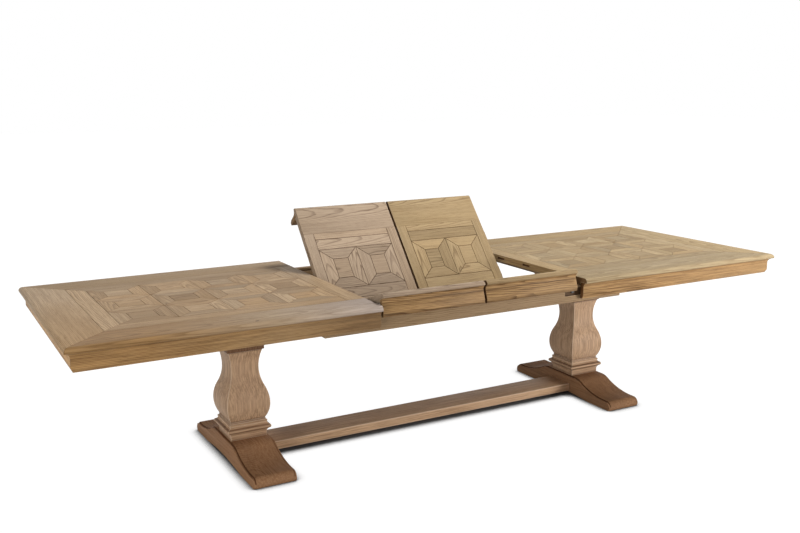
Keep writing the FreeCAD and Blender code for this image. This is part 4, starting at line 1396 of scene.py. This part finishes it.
@dataclass
class LeafSection:
    """One section of a folding leaf, modelled flat and then swung to where it rests."""

    side: Side
    end: End
    moulding: EdgeMoulding
    half_width: float
    timber: Timber
    joints: dict[str, dict]
    border: float = 0.165
    stile: float = 0.052
    thin_plank: float = 0.036
    wide_plank: float = 0.059
    square: float = 0.223
    squares: int = 2
    heart: tuple[float, float] = (0.080, 0.108)
    parquet_thickness: float = 0.008
    hinge_gap: float = 0.0003
    hinge_margin: float = 0.003
    hinge_width: float = 0.028
    hinge_depth: float = 0.0025
    slot: TongueSlot = TongueSlot()
    slot_places: tuple[float, float] = (-0.113, 0.330)
    apron_tone: float = -1.0
    arris: float = 0.0011
    gap_reach: float = 0.0002

    def __post_init__(self) -> None:
        """Read where the leaf lies from the frame."""
        self.name = f"{self.side.word}_leaf_{self.end.word}"
        low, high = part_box(f"{self.name}_panel")
        self.start, self.stop = low.x, high.x
        self.rng = random.Random(self.name)

    def pose(self) -> Matrix:
        """The swing from lying flat to the rest pose, from the joints' flat limits."""
        pivot = self.joints[f"{self.side.word}_leaf_pivot"]
        swing = self.about(pivot, -pivot["range_deg"][1])
        if self.end is End.FRONT:
            return swing
        fold = self.joints[f"{self.side.word}_leaf_fold"]
        return self.about(fold, -fold["range_deg"][0]) @ swing

    @staticmethod
    def about(joint: dict, degrees: float) -> Matrix:
        """Turn about a joint's own axis.

        Args:
            joint: the joint as the record holds it.
            degrees: how far.

        Returns:
            The turn.
        """
        place = Matrix.Translation(joint["pos_m"])
        return place @ Matrix.Rotation(math.radians(degrees), 4, X_AXIS) @ place.inverted()

    def spread(self, near: float, far: float) -> tuple[float, float]:
        """Order two distances from the hinge line as lower and upper Y."""
        return tuple(sorted((self.end.value * near, self.end.value * far)))

    def run(self, name: str, timber: Timber, outline: list[tuple[float, float]]) -> Piece:
        """Run a section along the outer edge, over the whole width of the leaf.

        Args:
            name: the board's name.
            timber: what it is made of.
            outline: the section, as distance out and height.

        Returns:
            The board.
        """
        ring = [Vector((self.start, self.end.value * out, up)) for out, up in outline]
        return Bench.pulled(name, timber, ring, (self.stop - self.start, 0, 0))

    def border_plank(self) -> Piece:
        """Run the nosed border plank."""
        inner = self.half_width - self.border
        plank = self.run("border", self.timber, self.moulding.plank(inner, self.half_width))
        Bench.ease(plank, self.arris)
        Bench.stain(plank, lambda p: abs(p.y) < inner + ARRIS_REACH, Face.PLAIN)
        # Painted shade on the end that looks into the gap between the leaves.
        Bench.stain(plank, self.faces_other_leaf, Face.END, arrises_only=False)
        # Painted shade on the nose, which the lamps above leave too bright.
        return self.moulding.glaze_leaf_nose(
            Bench.lay_grain(plank, Grain.ALONG_X, Cut.FLAT_SAWN, self.rng))

    def stile_board(self, left: float) -> Piece:
        """Make one stile, let in for its hinge and, on the left, for a tongue.

        Args:
            left: where its left edge lies.

        Returns:
            The stile.
        """
        y0, y1 = self.spread(self.hinge_gap, self.half_width - self.border)
        top = self.moulding.top
        board = Bench.block(
            "stile", self.timber, (left, y0, self.moulding.underside), (left + self.stile, y1, top))
        h0, h1 = self.spread(-self.hinge_width, self.hinge_width)
        Bench.sink(
            board, self.timber, (left + self.hinge_margin, h0, top - self.hinge_depth),
            (left + self.stile - self.hinge_margin, h1, top + self.hinge_depth))
        if abs(left - self.start) < self.stile / 2:
            middle = self.slot_places[0] if self.end is End.FRONT else self.slot_places[1]
            self.slot.cut(board, self.timber, left, middle, top)
        Bench.ease(board, self.arris)
        outer = self.half_width - self.border
        Bench.stain(board, lambda p: abs(p.y) > outer - ARRIS_REACH, Face.PLAIN)
        Bench.stain(board, lambda p: self.beside_field(p.x))
        # Painted shade on the end that looks into the gap between the leaves.
        Bench.stain(board, self.faces_other_leaf, Face.END, arrises_only=False)
        return Bench.lay_grain(board, Grain.ALONG_Y, Cut.RIFT_SAWN, self.rng)

    def faces_other_leaf(self, place: Vector) -> bool:
        """Tell whether a face looks into the gap between the two leaves, where shade is painted."""
        edge = self.stop if self.side is Side.LEFT else self.start
        return abs(place.x - edge) < self.gap_reach

    def beside_field(self, x: float) -> bool:
        """Tell whether a place along the leaf is at the edge of the parquet."""
        return min(abs(x - self.start - self.stile), abs(x - self.stop + self.stile)) < ARRIS_REACH

    def panel(self) -> Piece:
        """Join the border, the stiles and the board under the parquet."""
        y0, y1 = self.spread(self.hinge_gap, self.half_width - self.border)
        under = Bench.block(
            "under", self.timber, (self.start + self.stile, y0, self.moulding.underside),
            (self.stop - self.stile, y1, self.moulding.top - self.parquet_thickness))
        Bench.ease(under, self.arris)
        boards = [self.border_plank(), self.stile_board(self.start),
                  self.stile_board(self.stop - self.stile),
                  Bench.lay_grain(under, Grain.ALONG_X, Cut.RIFT_SAWN, self.rng)]
        return Bench.joined(f"{self.name}_boards", boards)

    def parquet(self) -> Piece:
        """Lay the planks and the row of framed squares."""
        laid = ParquetField(
            self.timber, self.moulding.top - self.parquet_thickness, self.moulding.top, self.rng)
        x0, x1 = self.start + self.stile, self.stop - self.stile
        edge = self.half_width - self.border
        thin = edge - self.thin_plank
        wide = thin - self.wide_plank
        squares = wide - self.square
        planks = (thin, edge), (wide, thin), (squares / 2, squares), (self.hinge_gap, squares / 2)
        for near, far in planks:
            y0, y1 = self.spread(near, far)
            laid.plank(x0, y0, x1, y1, Grain.ALONG_X)
        y0, y1 = self.spread(squares, wide)
        pitch = (x1 - x0) / self.squares
        for column in range(self.squares):
            laid.square(x0 + column * pitch, y0, x0 + (column + 1) * pitch, y1, self.heart)
        return laid.finished(f"{self.name}_parquet_blocks")

    def apron(self) -> Piece:
        """Run the apron under the border's nose."""
        board = self.run(f"{self.name}_apron_board", APRON_OAK, self.moulding.apron(self.half_width))
        self.moulding.score_cove(board)
        Bench.ease(board, self.arris)
        # Painted shade on the end that looks into the gap between the leaves.
        Bench.stain(board, self.faces_other_leaf, Face.END, arrises_only=False)
        Bench.lay_grain(board, Grain.ALONG_X, Cut.RIFT_SAWN, self.rng, self.apron_tone)
        # Painted shade under the nose, under the cove and at the foot.
        return self.moulding.glaze_leaf_apron(board)

    def build(self) -> None:
        """Model and dress the section."""
        pose = self.pose()
        for piece, slot, node in (
                (self.panel(), "oak_leaf", "panel"), (self.parquet(), "oak_parquet", "parquet"),
                (self.apron(), "oak_apron", "apron")):
            piece.data.transform(pose)
            Bench.deliver(piece, self.name, slot, f"{self.name}_{node}")


@dataclass
class Pedestals:
    """The two pedestals: an ogee foot, a moulded plinth and a square baluster each."""

    toe_undercut: float = 0.006
    toe_rise: float = 0.012
    toe_radius: float = 0.030
    toe_top: float = 0.047
    toe_run: float = 0.046
    slope_radius: float = 0.420
    shoulder_radius: float = 0.110
    shoulder_height: float = 0.018
    shoulder_start: float = 0.118
    shoulder_end: float = 0.180
    sole_start: float = 0.240
    sole_arch: float = 0.014
    step: float = 0.0045
    ledge: float = 0.010
    # Painted shade along the foot's step
    step_glaze: float = 0.004
    crown_glaze: float = 0.0025
    foot_arris: float = 0.002
    foot_tones: tuple[float, float] = (0.6, -0.9)
    nut_radius: float = 0.015
    nut_recess: float = 0.016
    plinth_half: float = 0.086
    plinth_cove: float = 0.018
    plinth_cove_radius: float = 0.026
    plinth_arris: float = 0.002
    bead_bottom: float = 0.040
    bead_top: float = 0.056
    bead_radius: float = 0.010
    bead_half: float = 0.100
    ring_bottom: float = 0.068
    ring_cove_radius: float = 0.016
    ring_radius: float = 0.0065
    rim_height: float = 0.008
    ring_half: float = 0.088
    rim_half: float = 0.084
    neck_half: float = 0.082
    bulb_half: float = 0.103
    waist_half: float = 0.066
    flare_half: float = 0.082
    cap_half: float = 0.088
    post_arris: float = 0.0035
    # Painted shade on the baluster's cap, which stands under the top
    cap_stain: float = 0.001
    bulb_rise: float = 0.075
    cap_height: float = 0.082
    waist_share: float = 0.652
    inflection: float = 0.48

    def __post_init__(self) -> None:
        """Read where the left pedestal stands from the frame, and how far off the right one is."""
        self.foot_low, self.foot_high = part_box("left_foot")
        self.plinth_low, self.plinth_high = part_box("left_plinth")
        self.post_low, self.post_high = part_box("left_baluster")
        self.middle = ((self.foot_low.x + self.foot_high.x) / 2, 0.0)
        self.apart = Matrix.Translation(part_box("right_foot")[0] - self.foot_low)
        self.rng = random.Random("pedestals")

    def crown(self, drop: float) -> list[tuple[float, float]]:
        """Follow the foot's back from its middle to its toe.

        Args:
            drop: how far below the top it runs.

        Returns:
            Points as distance from the middle and height.
        """
        half, top = self.foot_high.y, self.foot_high.z - drop
        toe = self.toe_top - drop
        return traced([
            Corner(self.shoulder_start, top, -1, self.shoulder_radius),
            Corner(self.shoulder_end, top - self.shoulder_height, 1, self.slope_radius),
            Corner(half - self.toe_run, toe),
            Corner(half - self.toe_radius, toe, -1, self.toe_radius),
            Corner(half, self.toe_rise)], 10)

    def foot(self) -> Piece:
        """Shape the foot: a hollow sole, an ogee back and a stepped arris."""
        half = self.foot_high.y
        sole_radius = (self.sole_start ** 2 + self.sole_arch ** 2) / (2 * self.sole_arch)
        sole = traced([
            Corner(self.sole_start, 0, 1, sole_radius), Corner(-self.sole_start, 0)], 16)
        back = self.crown(self.step)
        ring = [(-half + self.toe_undercut, 0)]
        ring += [(-out, up) for out, up in reversed(back)]
        ring += back
        ring += [(half - self.toe_undercut, 0)]
        ring += sole
        width = self.foot_high.x - self.foot_low.x
        body = Bench.pulled(
            "foot", FOOT_OAK, [Vector((self.foot_low.x, y, z)) for y, z in ring], (width, 0, 0))
        base = self.sole_arch + self.step
        proud = [(out, up) for out, up in self.crown(0.0) if up > base]
        strip = [(-out, up) for out, up in reversed(proud)] + proud
        strip += [(proud[-1][0], base), (-proud[-1][0], base)]
        start = self.foot_low.x + self.ledge
        raised = Bench.pulled(
            "crown", FOOT_OAK, [Vector((start, y, z)) for y, z in strip], (width - 2 * self.ledge, 0, 0))
        Bench.combine(body, raised, "UNION")
        Bench.bore(body, (*self.middle, 0.0), self.nut_radius, 2 * (self.sole_arch + self.nut_recess))
        Bench.ease(body, self.foot_arris)
        # Paint shade into the step along the foot's upper arrises.
        outline = self.ledge - self.step_glaze
        for place in (self.foot_low.x + outline, self.foot_high.x - outline):
            Bench.score(body, (place, 0, 0), X_AXIS)
        Bench.stain(body, self.in_step, arrises_only=False)
        return body

    def in_step(self, place: Vector) -> bool:
        """Tell whether a face lies in the step along the foot's upper arrises."""
        from_side = min(place.x - self.foot_low.x, self.foot_high.x - place.x)
        in_line = -self.step_glaze < from_side - self.ledge < self.crown_glaze
        return in_line and place.z > self.sole_arch

    def plinth(self) -> Piece:
        """Raise the plinth: a block, a cove, a bead, a ring and a rim."""
        low, high = self.plinth_low.z, self.plinth_high.z
        stations = traced([
            Corner(self.plinth_half, low),
            Corner(self.plinth_half, low + self.plinth_cove, -1, self.plinth_cove_radius),
            Corner(self.bead_half, low + self.bead_bottom, 1, self.bead_radius),
            Corner(self.bead_half, low + self.bead_top, -1, self.ring_cove_radius),
            Corner(self.ring_half, low + self.ring_bottom, 1, self.ring_radius),
            Corner(self.ring_half, high - self.rim_height),
            Corner(self.rim_half, high - self.rim_height), Corner(self.rim_half, high)], 6)
        post = Bench.turned("plinth", PEDESTAL_OAK, stations, self.middle)
        Bench.ease(post, self.plinth_arris)
        return post

    def baluster(self) -> Piece:
        """Raise the square baluster: a bulb, a waist and a flare under a cap."""
        low, high = self.post_low.z, self.post_high.z
        bulb, flare = low + self.bulb_rise, high - self.cap_height
        waist = bulb + self.waist_share * (flare - bulb)
        swell = self.bulb_half - self.waist_half
        turn = bulb + self.inflection * (waist - bulb)
        turn_half = self.bulb_half - self.inflection * swell
        spans = (
            (self.bulb_half - self.neck_half, bulb - low), (self.bulb_half - turn_half, turn - bulb),
            (turn_half - self.waist_half, waist - turn),
            (self.flare_half - self.waist_half, flare - waist))
        neck, belly, hollow, sweep = (
            (across ** 2 + rise ** 2) / (2 * across) for across, rise in spans)
        stations = traced([
            Corner(self.neck_half, low, 1, neck), Corner(self.bulb_half, bulb, 1, belly),
            Corner(turn_half, turn, -1, hollow), Corner(self.waist_half, waist, -1, sweep),
            Corner(self.flare_half, flare), Corner(self.cap_half, flare),
            Corner(self.cap_half, high)], 10)
        post = Bench.turned("baluster", PEDESTAL_OAK, stations, self.middle)
        Bench.ease(post, self.post_arris, 3)
        # Paint shade on the cap, under the top.
        Bench.stain(post, lambda p: p.z > flare - self.cap_stain, arrises_only=False)
        return post

    def stand(
            self, model: Piece, node: str, grain: Grain, cut: Cut, shaded_heights: Sequence[float] = (),
            tones: Sequence[float] = (0.0, 0.0)) -> None:
        """Dress a piece of the left pedestal, and copy it for the right one.

        Args:
            model: the piece on the left.
            node: the end of the nodes' names.
            grain: which way its fibres run.
            cut: how far from the heart it was sawn.
            shaded_heights: the heights where shade is painted.
            tones: the left and the right piece's tone before luck.
        """
        pair = (model, Bench.copied(model, self.apart))
        for side, piece, tone in zip(Side, pair, tones):
            # Painted shade in the plinth's hollows and at the baluster's neck and cap.
            Bench.glaze(Bench.lay_grain(piece, grain, cut, self.rng, tone), shaded_heights)
            name = f"{side.word}_{node}"
            Bench.deliver(Bench.joined(f"{name}_carved", [piece]), "base_frame", "oak_base", name)

    def build(self) -> None:
        """Model and dress the pedestals."""
        self.stand(self.foot(), "foot", Grain.ALONG_Y, Cut.RIFT_SAWN, tones=self.foot_tones)
        low, high = self.plinth_low.z, self.plinth_high.z
        hollows = (low, low + self.bead_bottom, low + self.bead_top, high - self.rim_height, high)
        self.stand(self.plinth(), "plinth", Grain.ALONG_X, Cut.RIFT_SAWN, hollows)
        neck, cap = self.post_low.z, self.post_high.z - self.cap_height
        self.stand(self.baluster(), "baluster", Grain.UPRIGHT, Cut.POST_SAWN, (neck, cap))


@dataclass
class Underframe:
    """The fixed timbers that are seen under the tops: the stretcher and the two side rails."""

    tenon: float = 0.025
    stretcher_tone: float = 1.0
    stretcher_glaze: float = 0.25
    recess_depth: float = 0.008
    recess_height: float = 0.036
    recess_rise: float = 0.033
    recess_lead: float = 0.090
    recess_length: float = 0.170
    covered_lead: float = 0.0125
    groove_depth: float = 0.0105
    groove_height: float = 0.010
    groove_drop: float = 0.010
    latch_lead: float = 0.042
    latch_radius: float = 0.008
    latch_height: float = 0.006
    latch_arris: float = 0.0015
    arris: float = 0.002

    def __post_init__(self) -> None:
        """Read where the seams lie from the frame, and start the timbers' luck."""
        self.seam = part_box("right_seam_border")[0].x
        self.rng = random.Random("underframe")

    def stretcher(self) -> Piece:
        """Plane the stretcher between the feet."""
        low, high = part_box("stretcher")
        board = Bench.block(
            "stretcher_board", PEDESTAL_OAK, low + self.tenon * X_AXIS, high - self.tenon * X_AXIS)
        Bench.ease(board, 2 * self.arris, 3)
        Bench.lay_grain(board, Grain.ALONG_X, Cut.RIFT_SAWN, self.rng, self.stretcher_tone)
        # Paint shade on the top, which lies under the table.
        return Bench.glaze(board, (high.z,), self.arris / 2, self.stretcher_glaze)

    def side_rail(self, end: End) -> Piece:
        """Plane a side rail, groove it for the runners and sink its bolts.

        Args:
            end: the long side that it lies on.

        Returns:
            The rail.
        """
        low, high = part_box(f"{end.word}_side_rail")
        rail = Bench.block(f"{end.word}_rail_board", FRAME_WOOD, low, high)
        inner, outer = (low.y, high.y) if end is End.BACK else (high.y, low.y)
        y0, y1 = inner - self.groove_depth, inner + self.groove_depth
        z1 = high.z - self.groove_drop
        Bench.sink(
            rail, FRAME_WOOD, (1.1 * low.x, y0, z1 - self.groove_height), (1.1 * high.x, y1, z1))
        y0, y1 = outer - self.recess_depth, outer + self.recess_depth
        z0 = low.z + self.recess_rise
        for side in Side:
            covered = side is Side.LEFT and end is End.FRONT
            near = self.seam - (self.covered_lead if covered else self.recess_lead)
            far = self.seam - self.recess_lead + self.recess_length
            x0, x1 = sorted((side.value * near, side.value * far))
            Bench.sink(rail, FRAME_WOOD, (x0, y0, z0), (x1, y1, z0 + self.recess_height))
        Bench.ease(rail, self.arris / 2)
        # Paint shade into the recesses.
        inside = (self.arris / 2, 1.2 * self.recess_depth)
        Bench.stain(rail, lambda p: inside[0] < abs(outer - p.y) < inside[1], arrises_only=False)
        return Bench.lay_grain(rail, Grain.ALONG_X, Cut.RIFT_SAWN, self.rng)

    def latch_bolt(self) -> Piece:
        """Turn the bolt head that shows in the open recess of the front rail."""
        low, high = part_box("front_side_rail")
        seat = low.y + self.recess_depth
        level = low.z + self.recess_rise + self.recess_height / 2
        place = (self.seam - self.latch_lead, seat - self.latch_height / 2, level)
        bolt = Bench.primitive(
            bpy.ops.mesh.primitive_cylinder_add, "latch_bolt", (STEEL.material(),), vertices=ROUND_SIDES,
            radius=self.latch_radius, depth=self.latch_height, location=place,
            rotation=(math.pi / 2, 0, 0))
        Bench.ease(bolt, self.latch_arris, 3, Face.PLAIN)
        return bolt

    def build(self) -> None:
        """Model and dress the timbers."""
        Bench.deliver(self.stretcher(), "base_frame", "oak_base", "stretcher")
        for end in End:
            Bench.deliver(self.side_rail(end), "base_frame", "frame_wood", f"{end.word}_side_rail")
        Bench.deliver(self.latch_bolt(), "base_frame", "steel")


@dataclass
class Fittings:
    """The nodes that are shown as they are: hidden timbers, tongues and metalwork."""

    nodes: dict[str, Piece]
    arris: float = 0.0015

    def dress(self, names: Iterable[str], material: bpy.types.Material, eased: bool = False) -> None:
        """Give nodes one material.

        Args:
            names: the nodes.
            material: what they are made of.
            eased: whether their arrises are broken.
        """
        for name in names:
            node = self.nodes[name]
            node.data.materials.clear()
            node.data.materials.append(material)
            if eased:
                Bench.set_plane(node.modifiers.new("arris", "BEVEL"), self.arris)
            log.info("%s is shown in %s", name, material.name)

    def build(self) -> None:
        """Dress every node that no piece stands for."""
        shown = [name for name, node in self.nodes.items() if not node.hide_render]
        brass = [name for name in shown if name.endswith("hinges")]
        cores = [name for name in shown if name.endswith("top_core")]
        along = [name for name in shown if name.endswith(("slide_runners", "runner_bearers"))]
        across = [name for name in shown if name.endswith(("tongues", "cross_rails", "cross_bearer"))]
        wood = {*cores, *along, *across}
        steel = [name for name in shown if name not in wood and name not in brass]
        self.dress(brass, BRASS.material())
        self.dress(steel, STEEL.material())
        self.dress(cores, CORE_BOARD.material(Face.PLAIN, Source.OBJECT_X))
        self.dress(along, FRAME_WOOD.material(Face.PLAIN, Source.OBJECT_X), True)
        self.dress(across, FRAME_WOOD.material(Face.PLAIN, Source.OBJECT_Y), True)


@dataclass(frozen=True)
class Lamp:
    """A soft square lamp that looks at the table: its side in metres and its power in watts."""

    name: str
    place: tuple[float, float, float]
    size: float
    power: float
    colour: Colour = (1.0, 1.0, 1.0)
    target: tuple[float, float, float] = (0.0, 0.0, 0.5)

    def hang(self) -> None:
        """Hang the lamp and aim it."""
        light = bpy.data.lights.new(self.name, "AREA")
        light.size = self.size
        light.energy = self.power
        light.color = self.colour
        lamp = bpy.data.objects.new(self.name, light)
        lamp.location = self.place
        aim = Vector(self.target) - Vector(self.place)
        lamp.rotation_euler = aim.to_track_quat("-Z", "Y").to_euler()
        bpy.context.collection.objects.link(lamp)


@dataclass(frozen=True)
class Studio:
    """The floor, the light and the camera."""

    picture_width: int = 800
    focal_pixels: float = 945.8
    yaw: float = math.radians(28.69)
    pitch: float = math.radians(11.165)
    roll: float = math.radians(-0.378)
    place: tuple[float, float, float] = (-2.336, -4.018, 1.711)
    sensor: float = 36.0
    floor_size: float = 60.0
    ambient: float = 0.32
    floor_paint: float = 0.6
    floor_glow: float = 1.3
    shadow_share: float = 0.25
    contact_reach: float = 0.06
    contact_dark: float = 0.42
    contact_light: float = 0.99
    lamps: tuple[Lamp, ...] = (
        Lamp("key", (3.5, -1.3, 8.0), 2.0, 490), Lamp("front", (3.1, -3.4, 0.8), 1.4, 114),
        Lamp("left_fill", (-5.6, -2.4, 1.1), 2.5, 108, (0.96, 0.98, 1.0)))

    def camera(self) -> None:
        """Set up the camera at the photograph's viewing angle."""
        forward = Vector((
            math.sin(self.yaw) * math.cos(self.pitch), math.cos(self.yaw) * math.cos(self.pitch),
            -math.sin(self.pitch)))
        level = Vector((math.cos(self.yaw), -math.sin(self.yaw), 0))
        upright = level.cross(forward)
        right = level * math.cos(self.roll) + upright * math.sin(self.roll)
        above = upright * math.cos(self.roll) - level * math.sin(self.roll)
        lens = bpy.data.cameras.new("camera")
        lens.sensor_width = self.sensor
        lens.lens = self.focal_pixels / self.picture_width * self.sensor
        lens.clip_end = 2 * self.floor_size
        camera = bpy.data.objects.new("camera", lens)
        turn = Matrix((right, above, -forward)).transposed().to_4x4()
        camera.matrix_world = Matrix.Translation(self.place) @ turn
        bpy.context.collection.objects.link(camera)
        bpy.context.scene.camera = camera

    def world(self) -> None:
        """Light the room evenly, and show it white to the camera and to shiny pieces."""
        room = bpy.data.worlds.new("room")
        bpy.context.scene.world = room
        shader = Shader(room)
        dim, white = (
            shader.add("ShaderNodeBackground", {"Color": (1, 1, 1, 1), "Strength": strength}).outputs[0]
            for strength in (self.ambient, 1.0))
        mix = shader.add("ShaderNodeMixShader", {0: shader.background_rays(), 1: dim, 2: white})
        shader.add("ShaderNodeOutputWorld", {"Surface": mix.outputs[0]})

    def floor(self) -> None:
        """Lay a white glowing floor that keeps a share of the table's shadow, with a painted contact
        shadow darkest where it stands.
        """
        shader = Shader(bpy.data.materials.new("white_floor"))
        # Painted contact shadow: ambient occlusion darkens the floor's glow where the table stands.
        near = shader.add(
            "ShaderNodeAmbientOcclusion", {"Distance": self.contact_reach}, samples=8).outputs["AO"]
        contact = shader.ranged(near, self.contact_dark, self.contact_light)
        glow = shader.add("ShaderNodeEmission", {"Color": contact, "Strength": self.floor_glow})
        paint = shader.add("ShaderNodeBsdfDiffuse", {"Color": (*[self.floor_paint] * 3, 1)})
        share = shader.times(shader.background_rays(), 1 - self.shadow_share)
        mix = shader.add("ShaderNodeMixShader", {0: share, 1: paint.outputs[0], 2: glow.outputs[0]})
        shader.add("ShaderNodeOutputMaterial", {"Surface": mix.outputs[0]})
        Bench.primitive(
            bpy.ops.mesh.primitive_plane_add, "floor", (shader.owner,), size=self.floor_size)

    def build(self) -> None:
        """Set up the whole studio."""
        bpy.context.scene.view_settings.view_transform = "Standard"
        self.world()
        self.floor()
        for lamp in self.lamps:
            lamp.hang()
        self.camera()


def main() -> None:
    """Build the table's looks around the frame."""
    logging.basicConfig(level=logging.INFO, format="%(message)s")
    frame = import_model()
    joints = {joint["name"]: joint for joint in frame["joints"]}
    moulding = EdgeMoulding.from_frame()
    half_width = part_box("left_long_borders")[1].y
    for side in Side:
        HalfTop(side, moulding).build()
    for side, timber in ((Side.LEFT, LEFT_LEAF_OAK), (Side.RIGHT, RIGHT_LEAF_OAK)):
        for end in End:
            LeafSection(side, end, moulding, half_width, timber, joints).build()
    Pedestals().build()
    Underframe().build()
    Fittings(frame["nodes"]).build()
    Studio().build()


if __name__ == "__main__":
    main()
